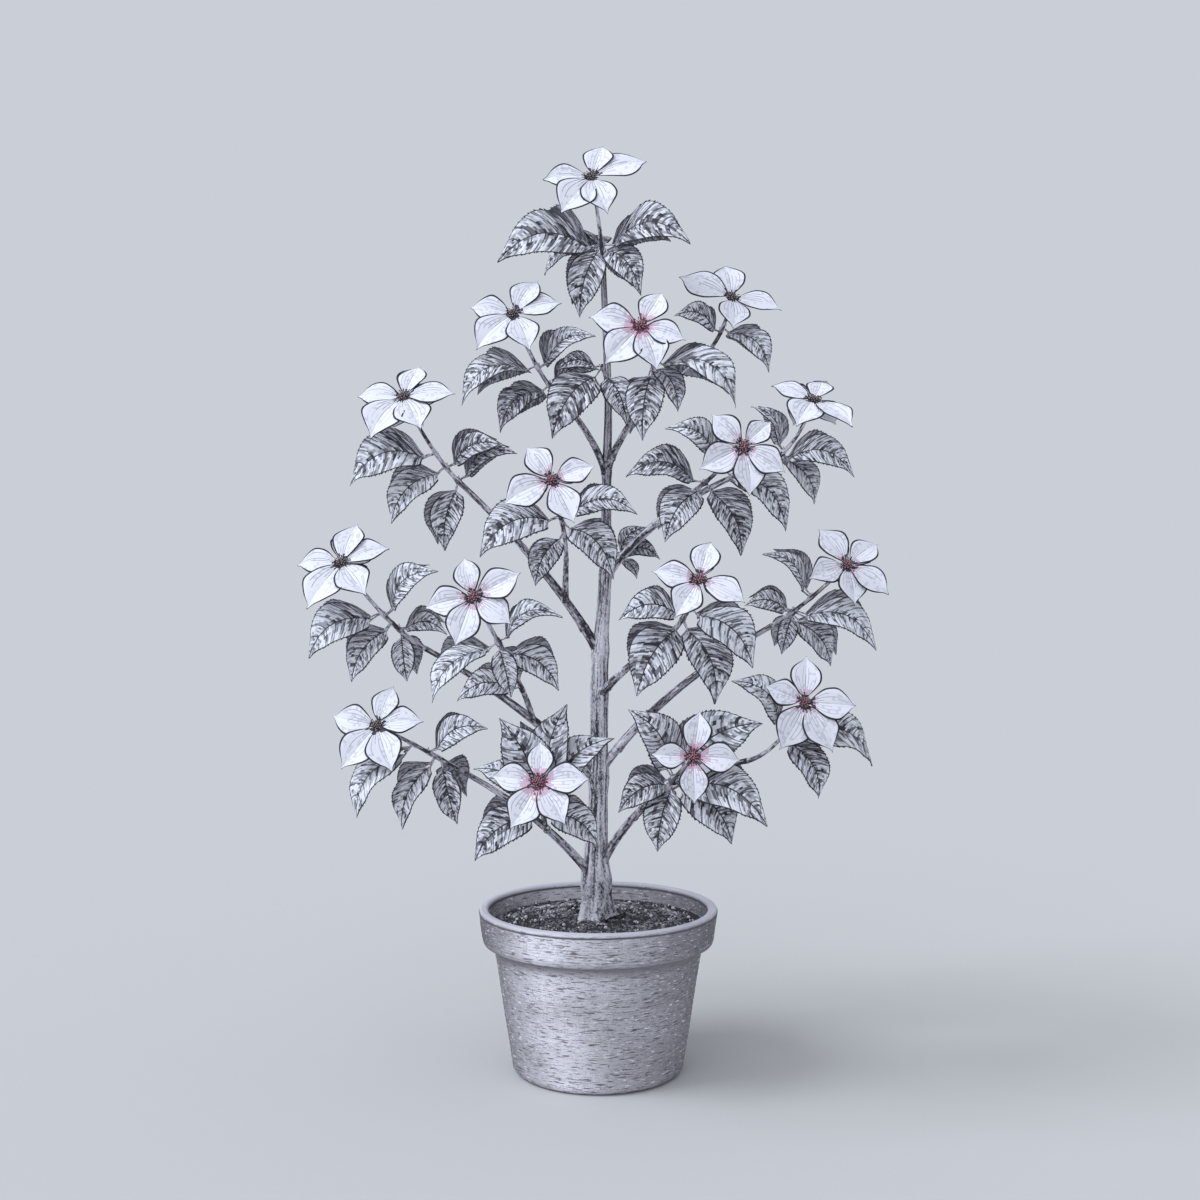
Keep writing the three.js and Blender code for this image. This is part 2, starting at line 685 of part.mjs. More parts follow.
// ---------------------------------------------------------------- solids
function buttonSolid(shoot) {
  const { out, up, right } = bloomFrame(shoot);
  const centre = shoot.stem.path[STEM_STEPS];
  const ring = (radius, height) => Array.from({ length: BUTTON_SIDES }, (_, i) => {
    const turn = BUTTON_TURN + (2 * Math.PI * i) / BUTTON_SIDES;
    return centre.clone()
      .addScaledVector(right, radius * Math.cos(turn))
      .addScaledVector(up, radius * Math.sin(turn))
      .addScaledVector(out, height);
  });
  const top = centre.clone().addScaledVector(out, BUTTON_HEIGHT);
  return skin([ring(BUTTON_FOOT_RADIUS, -BUTTON_DEPTH), ring(BUTTON_RADIUS, BUTTON_DEPTH), [top]]);
}

function shootSolid(shoot) {
  const { stem, bracts, leaves } = shoot;
  const pieces = [limb(stem.path, stem.radii, STEM_SIDES)];
  for (const bract of bracts) pieces.push(bladeSolid(bract, BRACT_THICKNESS));
  if (bracts.length) pieces.push(buttonSolid(shoot));
  for (const { root, blade } of leaves) pieces.push(bladeSolid(blade, LEAF_THICKNESS, root));
  return fromSolid(pieces.map(toSolid).reduce((whole, piece) => whole.add(piece)));
}

function trunkSolid(grow = 0) {
  return limb(limbs.trunk.path, limbs.trunk.radii, TRUNK_SIDES, grow, rootLobes);
}

// A bough's hidden start can leave scraps on the far side of its parent, which are dropped.
function largest(solid) {
  return solid.decompose().sort((a, b) => b.volume() - a.volume())[0];
}

function boughSolid(name) {
  const { path, radii, parent } = limbs[name];
  let solid = toSolid(limb(path, radii, BOUGH_SIDES)).subtract(toSolid(trunkSolid(TRUNK_GAP)));
  if (parent !== 'trunk') {
    const fork = limb(limbs[parent].path, limbs[parent].radii, BOUGH_SIDES, FORK_GAP);
    solid = solid.subtract(toSolid(fork));
  }
  return fromSolid(largest(solid));
}

function arc(centreRadius, centreHeight, radius, from, to, steps) {
  return Array.from({ length: steps + 1 }, (_, i) => {
    const a = rad(from + ((to - from) * i) / steps);
    return new THREE.Vector2(centreRadius + radius * Math.cos(a), centreHeight + radius * Math.sin(a));
  });
}

// Inner wall radius of the pot at a height, for the cavity and the soil.
function innerRadius(height) {
  const t = (height - POT_FLOOR) / (POT_HEIGHT - POT_FLOOR);
  return THREE.MathUtils.lerp(POT_FOOT_RADIUS - POT_WALL, BAND_TOP_RADIUS - POT_WALL, t);
}

function potSolid() {
  const bandFoot = POT_HEIGHT - BAND_HEIGHT;
  const profile = [
    new THREE.Vector2(0, 0),
    ...arc(POT_FOOT_RADIUS - FOOT_ROUNDING, FOOT_ROUNDING, FOOT_ROUNDING, -90, 0, 3),
    new THREE.Vector2(POT_SHOULDER_RADIUS, bandFoot - BAND_UNDERCUT),
    new THREE.Vector2(BAND_LOW_RADIUS - BAND_BEVEL, bandFoot),
    new THREE.Vector2(BAND_LOW_RADIUS, bandFoot + BAND_BEVEL),
    ...arc(BAND_TOP_RADIUS - LIP_ROUNDING, POT_HEIGHT - LIP_ROUNDING, LIP_ROUNDING, 0, 90, 2),
    ...arc(innerRadius(POT_HEIGHT) + LIP_ROUNDING, POT_HEIGHT - LIP_ROUNDING, LIP_ROUNDING, 90, 180, 2),
    new THREE.Vector2(innerRadius(POT_FLOOR + FLOOR_BEVEL), POT_FLOOR + FLOOR_BEVEL),
    new THREE.Vector2(innerRadius(POT_FLOOR) - FLOOR_BEVEL, POT_FLOOR),
    new THREE.Vector2(0, POT_FLOOR),
  ];
  return new THREE.LatheGeometry(profile, POT_SIDES).rotateX(Math.PI / 2);
}

function soilSolid() {
  const foot = POT_FLOOR + FLOOR_BEVEL + SOIL_GAP;
  const profile = [
    new THREE.Vector2(0, POT_FLOOR + SOIL_GAP),
    new THREE.Vector2(innerRadius(POT_FLOOR) - FLOOR_BEVEL - SOIL_GAP, POT_FLOOR + SOIL_GAP),
    new THREE.Vector2(innerRadius(foot) - SOIL_GAP, foot),
    new THREE.Vector2(innerRadius(SOIL_EDGE) - SOIL_GAP, SOIL_EDGE),
    new THREE.Vector2(SOIL_CROWN_RADIUS * 2, SOIL_EDGE + SOIL_SHELF_RISE),
    new THREE.Vector2(SOIL_CROWN_RADIUS, SOIL_TOP),
    new THREE.Vector2(0, SOIL_TOP),
  ];
  return new THREE.LatheGeometry(profile, POT_SIDES).rotateX(Math.PI / 2);
}

// ---------------------------------------------------------------- materials and assembly
const surface = (color, roughness) => ({ color, roughness, metalness: 0 });
const CLAY = surface(0x9c9a9f, 0.9);
const EARTH = surface(0x4d4a4b, 1.0);
const BARK = surface(0x7d7a80, 0.9);
const LEAVES = surface(0x7f857f, 0.7);

const plant = new THREE.Group();

function place(name, geometry, finish) {
  const mesh = new THREE.Mesh(geometry, new THREE.MeshStandardMaterial(finish));
  mesh.name = name;
  plant.add(mesh);
}

place('pot', potSolid(), CLAY);
place('soil', soilSolid(), EARTH);
place('trunk', trunkSolid(), BARK);
for (const name of Object.keys(limbs)) {
  if (name !== 'trunk') place(`bough_${name}`, boughSolid(name), BARK);
}
for (const shoot of Object.values(shoots)) place(`foliage_${shoot.name}`, shootSolid(shoot), LEAVES);

export default plant;
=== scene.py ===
"""A young flowering dogwood in bloom, standing in a round clay pot.

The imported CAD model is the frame. The trunk, boughs, shoots, leaves and blooms grow here by the same
rule and from the same sizes as in the part's source, with finer surfaces. Sizes are in millimetres
until a mesh is made, and -Y is the plant's front.
"""

import json
import math
from math import cos, radians, sin

import bpy
import numpy as np
from numpy.linalg import norm
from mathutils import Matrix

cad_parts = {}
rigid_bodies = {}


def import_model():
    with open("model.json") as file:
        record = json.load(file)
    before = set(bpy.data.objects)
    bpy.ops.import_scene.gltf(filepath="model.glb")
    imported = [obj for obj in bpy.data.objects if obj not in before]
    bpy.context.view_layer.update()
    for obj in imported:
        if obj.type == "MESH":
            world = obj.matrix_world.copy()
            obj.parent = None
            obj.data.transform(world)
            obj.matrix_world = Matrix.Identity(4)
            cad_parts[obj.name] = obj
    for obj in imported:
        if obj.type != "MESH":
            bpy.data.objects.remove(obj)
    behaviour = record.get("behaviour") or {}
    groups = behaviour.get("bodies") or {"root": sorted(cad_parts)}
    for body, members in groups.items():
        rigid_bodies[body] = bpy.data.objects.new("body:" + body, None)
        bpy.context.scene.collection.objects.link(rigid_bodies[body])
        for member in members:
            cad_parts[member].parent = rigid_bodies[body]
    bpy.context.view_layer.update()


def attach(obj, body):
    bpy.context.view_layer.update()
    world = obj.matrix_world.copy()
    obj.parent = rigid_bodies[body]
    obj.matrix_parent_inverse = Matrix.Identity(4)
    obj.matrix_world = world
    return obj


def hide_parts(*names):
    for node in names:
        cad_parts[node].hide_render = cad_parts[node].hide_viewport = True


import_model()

MM = 0.001

# ------------ camera
EYE_DISTANCE = 1664
EYE_HEIGHT = 555
EYE_SIDE = 2
EYE_PITCH = 2.15
LENS = 48

# ------------ pot and soil
POT_HEIGHT = 172
POT_FOOT_RADIUS = 90
POT_SHOULDER_RADIUS = 109
BAND_HEIGHT = 36
BAND_LOW_RADIUS = 120.5
BAND_TOP_RADIUS = 124.5
POT_WALL = 10
POT_FLOOR = 12
FOOT_ROUNDING = 10
LIP_ROUNDING = 4
SOIL_EDGE = 155
SOIL_TOP = 160
SOIL_CROWN_RADIUS = 34

# ------------ wood
GAP = 0.3
BOUGH_STEPS = 5
STEM_STEPS = 4
BOUGH_TIP_RADIUS = 2.6
BOUGH_BEND = 0.45
STEM_FOOT_RADIUS = 2.3
STEM_TIP_RADIUS = 1.7
STEM_BEND = 0.4
ROOT_LOBES = 5
ROOT_LOBE_DEPTH = 0.16
ROOT_LOBE_REACH = 45
ROOT_LOBE_TURN = 0.6

# Trunk stations from the soil up: height above the cut, sideways lean, depth lean and radius.
TRUNK = [
    [0, 0, 0, 20.5],
    [4, 0, 0, 18.4],
    [12, -1.3, 0, 16.4],
    [20, -2.4, 0, 15],
    [34, -2.6, 0, 13.8],
    [84, -1.6, 1, 12],
    [124, 0.3, 2, 10],
    [196, 1.2, 2, 9.5],
    [282, 1.8, 0, 9],
    [304, 4.5, -1, 7.4],
    [358, 7.6, -2, 6.5],
    [404, 8.5, -3, 5.4],
    [472, 9, -1, 4.8],
    [530, 11, 1, 4.0],
    [600, 8.5, 2, 3.7],
    [676, 5, 1, 3.0],
]

# ------------ leaves and bracts
LEAF_HALF_WIDTH = 0.29
STALK_SHARE = 0.14
SHORTEST_STALK = 7
LEAF_ARCH = 0.13
LEAF_BOW = 0.17
LEAF_FOLD = 0.12
LEAF_LEAN = 13
PARTNER_LEAN = 30
LEAN_KEPT = 35
LEAF_TURN_OUT = 0.0018
LEAF_ROLL = 15
WIDTH_SPREAD = 0.1
ARCH_SPREAD = 0.3
LEAN_SPREAD = 6
LEAF_FACE_OUT = 0.78
LEAF_FACE_UP = 0.6
# Stations along a blade: share of its length and share of its half width.
LEAF_STATIONS = [[0.14, 0.66], [0.4, 1.0], [0.76, 0.6]]
BLOOM_TURN_OUT = 0.0008
BRACT_HALF_WIDTH = 0.36
BRACT_CUP = 0.09
BRACT_FOLD = 0.12
BRACT_ROOT = 3.5
BRACT_STATIONS = [[0.38, 0.82], [0.68, 0.96]]
CLEARANCE = 2.4
WIDEST_LIMB = 12
SWINGS = [0, 8, -8, 16, -16, 24, -24, 32, -32, 42, -42]
PARTNER_SHARE = 0.8
PARTNER_TURN = 5
REAR_LIFT = 10
REAR_BRACT_SHARE = 0.82
SEED = 72

# ------------ the shoots
# Each row: parent limb and where on it the bough starts (height on the trunk, share of a bough), the
# bough's upward bow and base radius, the foot of the shoot, the bloom and how far it faces up, whether
# each leaf has a partner on the far side, the bracts [turn, length], and the leaves [share of the stem
# below the bloom, bearing, reach]. Bearings turn from +X towards +Z.
SHOOT_KEYS = ["parent", "at", "bow", "girth", "foot", "bloom", "tilt", "partners", "bracts", "leaves"]
SHOOT_ROWS = {
    "crest": ["trunk", None, None, None, [5, 1, 838], [-7, 0, 929], 37, True,
        [[75, 49], [22, 62], [287, 58], [241, 64], [185, 50]],
        [[0.74, 192, 108], [0.72, 207, 66], [0.68, 255, 84], [0.72, 305, 70], [0.74, 357, 90]]],
    "top_left": ["trunk", 622, 12, 4.0, [-42, -22, 703], [-85, -40, 783], 33, True,
        [[64, 50], [16, 50], [292, 52], [233, 58], [168, 46]],
        [[0.56, 210, 86], [0.84, 226, 70], [0.84, 16, 54], [0.6, 28, 66]]],
    "top_front": ["trunk", 629, 8, 4.2, [49, -62, 695], [41, -120, 760], 29, False,
        [[169, 51], [61, 46], [339, 46], [286, 53], [232, 58]],
        [[0.44, 262, 76], [0.4, 295, 56], [0.36, 328, 94]]],
    "top_right": ["top_front", 0.73, 6, 3.0, [113, 14, 751], [140, 20, 808], 44, True,
        [[149, 62], [91, 53], [337, 54], [264, 52]],
        [[0.5, 163, 52], [0.42, 313, 68]]],
    "high_left": ["trunk", 437, 17, 5.2, [-139, -40, 612], [-196, -45, 699], 44, False,
        [[80, 48], [2, 54], [299, 58], [250, 65], [177, 49]],
        [[0.58, 202, 90], [0.74, 228, 78], [0.76, 20, 62], [0.96, 260, 72], [0.96, 24, 66]]],
    "high_right": ["trunk", 515, 33, 4.4, [170, -35, 632], [218, -40, 696], 55, False,
        [[144, 47], [64, 43], [299, 57], [239, 59]],
        [[0.8, 344, 78], [0.7, 303, 62], [0.68, 127, 56]]],
    "high_front_left": ["high_left", 0.31, 6, 3.5, [-32, -60, 535], [-43, -160, 611], 24, False,
        [[126, 43], [20, 43], [296, 50], [210, 52]],
        [[0.36, 208, 86], [0.56, 243, 60], [0.42, 311, 76], [0.36, 0, 74]]],
    "high_front_right": ["high_right", 0.45, 5, 3.2, [94, -70, 603], [137, -150, 643], 15, False,
        [[133, 43], [41, 38], [327, 47], [275, 49], [208, 49]],
        [[0.36, 147, 66], [0.7, 177, 78], [0.72, 236, 70], [0.68, 295, 80], [0.36, 314, 86]]],
    "mid_left": ["trunk", 302, 19, 5.6, [-175, -45, 445], [-257, -60, 532], 42, False,
        [[85, 52], [23, 50], [311, 55], [250, 64], [184, 47]],
        [[0.48, 212, 84], [0.6, 237, 70], [0.7, 278, 52], [0.52, 40, 72], [0.68, 354, 50]]],
    "mid_front_left": ["mid_left", 0.44, 4, 3.2, [-75, -80, 406], [-114, -200, 503], 20, False,
        [[106, 40], [29, 49], [324, 45], [254, 50], [194, 46]],
        [[0.36, 21, 66], [0.42, 324, 68], [0.36, 284, 54], [0.36, 223, 82], [0.95, 192, 64]]],
    "mid_front_right": ["trunk", 393, 6, 4.6, [64, -110, 458], [92, -210, 519], 33, False,
        [[169, 44], [71, 44], [328, 48], [239, 47]],
        [[0.46, 185, 64], [0.54, 238, 84], [0.54, 290, 84], [0.36, 316, 80]]],
    "mid_right": ["trunk", 312, 26, 5.0, [176, -45, 468], [249, -65, 530], 33, False,
        [[118, 48], [33, 45], [316, 51], [268, 47], [200, 46]],
        [[0.46, 138, 66], [0.7, 173, 50], [0.7, 253, 44], [0.74, 308, 68], [0.7, 335, 88]]],
    "low_left": ["trunk", 198, 19, 4.9, [-135, -70, 323], [-218, -90, 372], 32, True,
        [[77, 45], [7, 47], [296, 55], [239, 56], [170, 49]],
        [[0.36, 233, 90], [0.62, 246, 76], [0.68, 285, 66], [0.54, 23, 64]]],
    "low_front_left": ["low_left", 0.44, 3, 3.4, [-51, -80, 268], [-55, -200, 332], 26, False,
        [[89, 40], [4, 48], [303, 48], [242, 50], [174, 44]],
        [[0.34, 114, 98], [0.34, 77, 102], [0.34, 151, 76], [0.34, 45, 96], [0.34, 328, 62],
         [0.34, 216, 78]]],
    "low_front_right": ["low_right", 0.38, 3, 3.4, [50, -80, 292], [88, -190, 355], 8, False,
        [[80, 43], [354, 45], [271, 44], [177, 39]],
        [[0.34, 122, 82], [0.34, 209, 60], [0.34, 257, 68], [0.34, 313, 80], [0.34, 336, 94],
         [0.34, 34, 100]]],
    "low_right": ["trunk", 200, 56, 5.0, [148, -90, 337], [200, -120, 398], 24, True,
        [[81, 48], [355, 52], [293, 56], [237, 56], [156, 42]],
        [[0.36, 136, 74], [0.38, 298, 70], [0.36, 338, 96]]],
}
SHOOTS = {name: dict(zip(SHOOT_KEYS, row)) for name, row in SHOOT_ROWS.items()}

# Sprigs are short leafy side shoots that carry no bloom.
SPRIGS = {
    "sprig_upper": {"foot": [8.3, -4.6, 722], "tip": [4, -42, 731],
                    "leaves": [[0.06, 187, 46], [0.12, 236, 90], [0.3, 293, 62]]},
    "sprig_middle": {"foot": [12, 6, 528], "tip": [22, 25, 541],
                     "leaves": [[0.3, 43, 46], [0.05, 352, 44], [0.15, 310, 32]]},
}

# Rear shoots stand behind their front partners as seen by an eye in front of the plant, so they fill
# the crown's back and leave its front gaps open. Where the front bough starts on the trunk, the rear one
# forks from it, and otherwise it starts on the front parent's own rear partner, or on that parent where
# it has none: [front shoot, rear parent, depth of its foot, depth of its bloom].
REAR_FORK = 0.14
REAR_STEP = 0.1
REAR_GIRTH_SHARE = 0.85
REAR_SHOOTS = {
    "top_back": ["top_front", "top_front", 60, 112],
    "high_rear_left": ["high_left", "high_left", 45, 75],
    "high_rear_right": ["high_right", "high_right", 45, 70],
    "mid_back_right": ["mid_front_right", "mid_front_right", 100, 196],
    "mid_rear_left": ["mid_left", "mid_left", 50, 90],
    "mid_rear_right": ["mid_right", "mid_right", 50, 95],
    "high_back_left": ["high_front_left", "high_rear_left", 70, 150],
    "high_back_right": ["high_front_right", "high_rear_right", 75, 148],
    "mid_back_left": ["mid_front_left", "mid_rear_left", 85, 190],
    "low_back_left": ["low_front_left", "low_left", 80, 186],
    "low_back_right": ["low_front_right", "low_right", 80, 182],
}


# ============ the growth rule
def seeded(seed):
    """The source's small seeded random draw, bit for bit."""
    mask = 0xFFFFFFFF
    state = [seed & mask]

    def draw():
        state[0] = (state[0] + 0x6D2B79F5) & mask
        t = state[0]
        t = ((t ^ (t >> 15)) * (t | 1)) & mask
        t ^= (t + (((t ^ (t >> 7)) * (t | 61)) & mask)) & mask
        return ((t ^ (t >> 14)) & mask) / 4294967296

    return draw


grow_random = seeded(SEED)


def spread(amount):
    return (grow_random() * 2 - 1) * amount


def vec(*values):
    return np.array(values if len(values) > 1 else values[0], float)


def unit(v):
    return v / norm(v)


def quadratic(start, bend, end, steps):
    t = np.linspace(0, 1, steps + 1)[:, None]
    return (1 - t) ** 2 * start + 2 * t * (1 - t) * bend + t**2 * end


def point_at(path, share):
    place = min(max(share, 0), 1) * (len(path) - 1)
    i = min(int(place), len(path) - 2)
    return path[i] + (path[i + 1] - path[i]) * (place - i)


def turned_about(v, axis, angle):
    """v turned about a unit axis by the right-hand rule, in radians."""
    c, s = cos(angle), sin(angle)
    return v * c + np.cross(axis, v) * s + axis * np.dot(axis, v) * (1 - c)


trunk_path = np.array([[x, y, SOIL_TOP + GAP + z] for z, x, y, r in TRUNK], float)
trunk_radii = np.array([r for z, x, y, r in TRUNK], float)
limbs = {"trunk": {"path": trunk_path, "radii": trunk_radii}}
shoots = {}


def on_trunk(height):
    i = max(0, int(np.argmax(trunk_path[:, 2] > height)) - 1)
    a, b = trunk_path[i], trunk_path[i + 1]
    return a + (b - a) * (height - a[2]) / (b[2] - a[2])


def grown(curve, steps, foot_radius, tip_radius):
    radii = np.linspace(foot_radius, tip_radius, steps + 1)
    return {"curve": curve, "path": quadratic(*curve, steps), "radii": radii}


def grow_bough(start, foot, bow, girth):
    chord = unit(foot - start)
    up = unit(vec(0, 0, 1) - chord * chord[2])
    bend = start + (foot - start) * BOUGH_BEND + up * bow
    return grown((start, bend, foot), BOUGH_STEPS, girth, BOUGH_TIP_RADIUS)


def grow_stem(foot, heading, end):
    start = foot + heading * GAP
    bend = start + heading * STEM_BEND * norm(end - start)
    return grown((start, bend, end), STEM_STEPS, STEM_FOOT_RADIUS, STEM_TIP_RADIUS)


def keep_shoot(name, row, facing, stem):
    shoots[name] = {"name": name, "row": row, "facing": facing, "stem": stem, "end": stem["path"][-1]}


def behind(point, depth):
    """The same direction of sight, carried on to another depth."""
    k = (EYE_DISTANCE + depth) / (EYE_DISTANCE + point[1])
    return vec(point[0] * k, depth, EYE_HEIGHT + (point[2] - EYE_HEIGHT) * k)


def grow_shoot(name, row, facing):
    foot, carrier, at = vec(row["foot"]), row["parent"], row["at"]
    if at is not None:
        from_trunk = carrier == "trunk"
        start = on_trunk(at) if from_trunk else point_at(limbs[carrier]["path"], at)
        limbs[name] = grow_bough(start, foot, row["bow"], row["girth"])
        limbs[name]["from_trunk"] = from_trunk
        carrier = name
    path = limbs[carrier]["path"]
    keep_shoot(name, row, facing, grow_stem(foot, unit(path[-1] - path[-2]), vec(row["bloom"])))


def rear_start(front, parent):
    """Where a rear bough starts on its parent to stay in its front partner's line of sight."""
    if front == parent:
        return REAR_FORK
    share = SHOOTS[front]["at"]
    return share - REAR_STEP if parent in SHOOTS else (share - REAR_FORK) / (1 - REAR_FORK)


def grow_wood():
    for name, row in SPRIGS.items():
        foot, tip = vec(row["foot"]), vec(row["tip"])
        keep_shoot(name, row, 1, grow_stem(foot, unit(tip - foot), tip))
    for on_bough in (False, True):
        for name, row in SHOOTS.items():
            if (row["parent"] in SHOOTS) == on_bough:
                grow_shoot(name, row, 1)
    for name, (front, parent, foot_depth, bloom_depth) in REAR_SHOOTS.items():
        row = dict(SHOOTS[front], parent=parent, at=rear_start(front, parent))
        if front == parent:
            row["bow"] *= (1 - REAR_FORK) ** 2
        row["girth"] *= REAR_GIRTH_SHARE
        row["foot"] = behind(SHOOTS[front]["foot"], foot_depth)
        row["bloom"] = behind(SHOOTS[front]["bloom"], bloom_depth)
        row["bracts"] = [[turn, length * REAR_BRACT_SHARE] for turn, length in row["bracts"]]
        grow_shoot(name, row, -1)


# ------------ blades
def blade_rows(base, ahead, face, length, half_width, arch, bow, fold, stations):
    """A leaf or bract as rows of left edge, rib and right edge, with the frame that shapes it."""
    across = unit(np.cross(ahead, face))
    rise = vec(0, 0, 1) - ahead * ahead[2]
    blade = dict(base=base, ahead=ahead, face=face, across=across, rise=rise, length=length,
                 half_width=half_width, arch=arch, bow=bow, fold=fold)

    def place(s, e, w):
        lift = 4 * s * (1 - s) * arch * length + abs(e) * w * fold
        return (base + ahead * length * s + across * e * w + rise * 4 * s * (1 - s) * bow * length
                + face * lift)

    blade["rows"] = np.array([[place(s, e, w * half_width * length) for e in (-1, 0, 1)]
                              for s, w in stations])
    blade["tip"] = place(1, 0, 0)
    return blade


def ball_of(lines):
    points = lines.reshape(-1, 3)
    centre = points.mean(axis=0)
    return {"centre": centre, "size": norm(points - centre, axis=1).max()}


def blade_net(blade):
    """The lines and faces of a blade that the clearance test reads."""
    rows = blade["rows"]
    net = np.concatenate([[[blade["base"]] * 3], rows, [[blade["tip"]] * 3]])
    lines = np.concatenate([np.stack([low, high], -2).reshape(-1, 2, 3)
                            for low, high in ((net[:-1], net[1:]), (rows[:, :-1], rows[:, 1:]))])
    a, b, c, d = net[:-1, :-1], net[:-1, 1:], net[1:, 1:], net[1:, :-1]
    faces = np.concatenate([np.stack(corners, -2).reshape(-1, 3, 3) for corners in ((a, b, c), (a, c, d))])
    return {"lines": lines, "faces": faces, "reach": np.zeros(len(lines)), **ball_of(lines)}


def tube_net(tube):
    path, radii = tube["path"], tube["radii"]
    lines = np.stack([path[:-1], path[1:]], axis=1)
    return {"lines": lines, "faces": None, "reach": np.maximum(radii[1:], radii[:-1]), **ball_of(path)}


def line_gaps(one, other):
    """Shortest distance between every line of one set and every line of another."""
    a, u = one[:, None, 0], (one[:, 1] - one[:, 0])[:, None]
    c, v = other[None, :, 0], (other[:, 1] - other[:, 0])[None]
    w = a - c
    uu, vv = (u * u).sum(-1), (v * v).sum(-1)
    uv, vw, uw = (u * v).sum(-1), (v * w).sum(-1), (u * w).sum(-1)
    det = uu * vv - uv * uv
    s = np.where(det > 1e-9, np.clip((uv * vw - vv * uw) / np.where(det > 1e-9, det, 1), 0, 1), 0)
    t = np.clip((uv * s + vw) / vv, 0, 1)
    s = np.clip((uv * t - uw) / uu, 0, 1)
    return norm(w + u * s[..., None] - v * t[..., None], axis=-1)


def lines_cut(lines, faces):
    """True if any line passes through any face."""
    a, d = lines[:, None, 0], (lines[:, 1] - lines[:, 0])[:, None]
    p, e1, e2 = faces[None, :, 0], (faces[:, 1] - faces[:, 0])[None], (faces[:, 2] - faces[:, 0])[None]
    h = np.cross(d, e2)
    det = (e1 * h).sum(-1)
    good = np.abs(det) > 1e-9
    inv = 1 / np.where(good, det, 1)
    s = a - p
    u = (s * h).sum(-1) * inv
    q = np.cross(s, e1)
    v = (d * q).sum(-1) * inv
    t = (e2 * q).sum(-1) * inv
    return bool((good & (u >= 0) & (v >= 0) & (u + v <= 1) & (t >= 0) & (t <= 1)).any())


def too_close(one, other):
    reach = one["size"] + other["size"] + CLEARANCE + WIDEST_LIMB
    if norm(one["centre"] - other["centre"]) > reach:
        return False
    if (line_gaps(one["lines"], other["lines"]) < CLEARANCE + other["reach"][None]).any():
        return True
    if lines_cut(other["lines"], one["faces"]):
        return True
    return other["faces"] is not None and lines_cut(one["lines"], other["faces"])


def bloom_frame(shoot):
    """Right, up and out of a bloom that looks to its side of the crown, up and outwards."""
    t, facing = radians(shoot["row"]["tilt"]), shoot["facing"]
    turn = facing * BLOOM_TURN_OUT * shoot["end"][0]
    ways = [(1, 0, 0), (0, facing * sin(t), cos(t)), (0, -facing * cos(t), sin(t))]
    return [turned_about(vec(way), vec(0, 0, 1), turn) for way in ways]


def spoke(right, up, turn):
    return right * cos(turn) + up * sin(turn)


def grow_bracts(shoot):
    if "bracts" not in shoot["row"]:
        return []
    right, up, out = bloom_frame(shoot)
    bracts = []
    for turn, length in shoot["row"]["bracts"]:
        toward = spoke(right, up, radians(turn))
        base = shoot["end"] + toward * BRACT_ROOT
        bracts.append(blade_rows(base, toward, out, length - BRACT_ROOT, BRACT_HALF_WIDTH,
                                 BRACT_CUP, 0, BRACT_FOLD, BRACT_STATIONS))
    return bracts


def leaf_blade(root, bearing, reach, lean, facing, habit):
    """A leaf's upper face looks up, to the shoot's side of the crown and a little away from the trunk.

    Its reach is the length seen from the front, which it keeps until it leans too far.
    """
    b, l = radians(bearing), radians(lean)
    ahead = vec(cos(b) * cos(l), -facing * sin(l), sin(b) * cos(l))
    sky = vec(LEAF_TURN_OUT * root[0], -facing * LEAF_FACE_OUT, LEAF_FACE_UP)
    face = turned_about(unit(sky - ahead * sky.dot(ahead)), ahead, radians(habit["roll"]))
    full = reach / cos(radians(min(abs(lean), LEAN_KEPT)))
    stalk = max(full * STALK_SHARE, SHORTEST_STALK)
    return blade_rows(root + ahead * stalk, ahead, face, full - stalk,
                      LEAF_HALF_WIDTH * habit["width"], LEAF_ARCH * habit["arch"], LEAF_BOW, LEAF_FOLD,
                      LEAF_STATIONS)


def grow_leaf(root, bearing, reach, base_lean, facing, taken):
    """Tries each swing in turn until the leaf is clear of wood, blooms and other leaves."""
    habit = {"roll": spread(LEAF_ROLL), "width": 1 + spread(WIDTH_SPREAD),
             "arch": 1 + spread(ARCH_SPREAD)}
    lean = base_lean + spread(LEAN_SPREAD)
    for swing in SWINGS:
        blade = leaf_blade(root, bearing, reach, lean + swing, facing, habit)
        net = blade_net(blade)
        if not any(too_close(net, other) for other in taken):
            taken.append(net)
            return {"root": root, "blade": blade}
    return None


def grow_leaves(shoot, taken, partners):
    """Leaves that face the back are held a little higher, hidden by those in front."""
    row, facing = shoot["row"], shoot["facing"]
    sense, share, lean = (-facing, PARTNER_SHARE, PARTNER_LEAN) if partners else (facing, 1, LEAF_LEAN)
    leaves = []
    for place, bearing, reach in row["leaves"]:
        lift = math.copysign(REAR_LIFT, cos(radians(bearing))) if sense < 0 else 0
        turned = bearing + lift + (spread(PARTNER_TURN) if partners else 0)
        root = point_at(shoot["stem"]["path"], 1 - place)
        leaves.append(grow_leaf(root, turned, reach * share, lean, sense, taken))
    return [leaf for leaf in leaves if leaf]


def grow_plant():
    grow_wood()
    taken = [tube_net(limb) for limb in limbs.values()]
    for shoot in shoots.values():
        taken.append(tube_net(shoot["stem"]))
        shoot["bracts"] = grow_bracts(shoot)
        taken += [blade_net(bract) for bract in shoot["bracts"]]
    for shoot in shoots.values():
        shoot["leaves"] = grow_leaves(shoot, taken, False)
    for shoot in shoots.values():
        if shoot["row"].get("partners"):
            shoot["leaves"] += grow_leaves(shoot, taken, True)


grow_plant()
boughs = {name: limb for name, limb in limbs.items() if name != "trunk"}


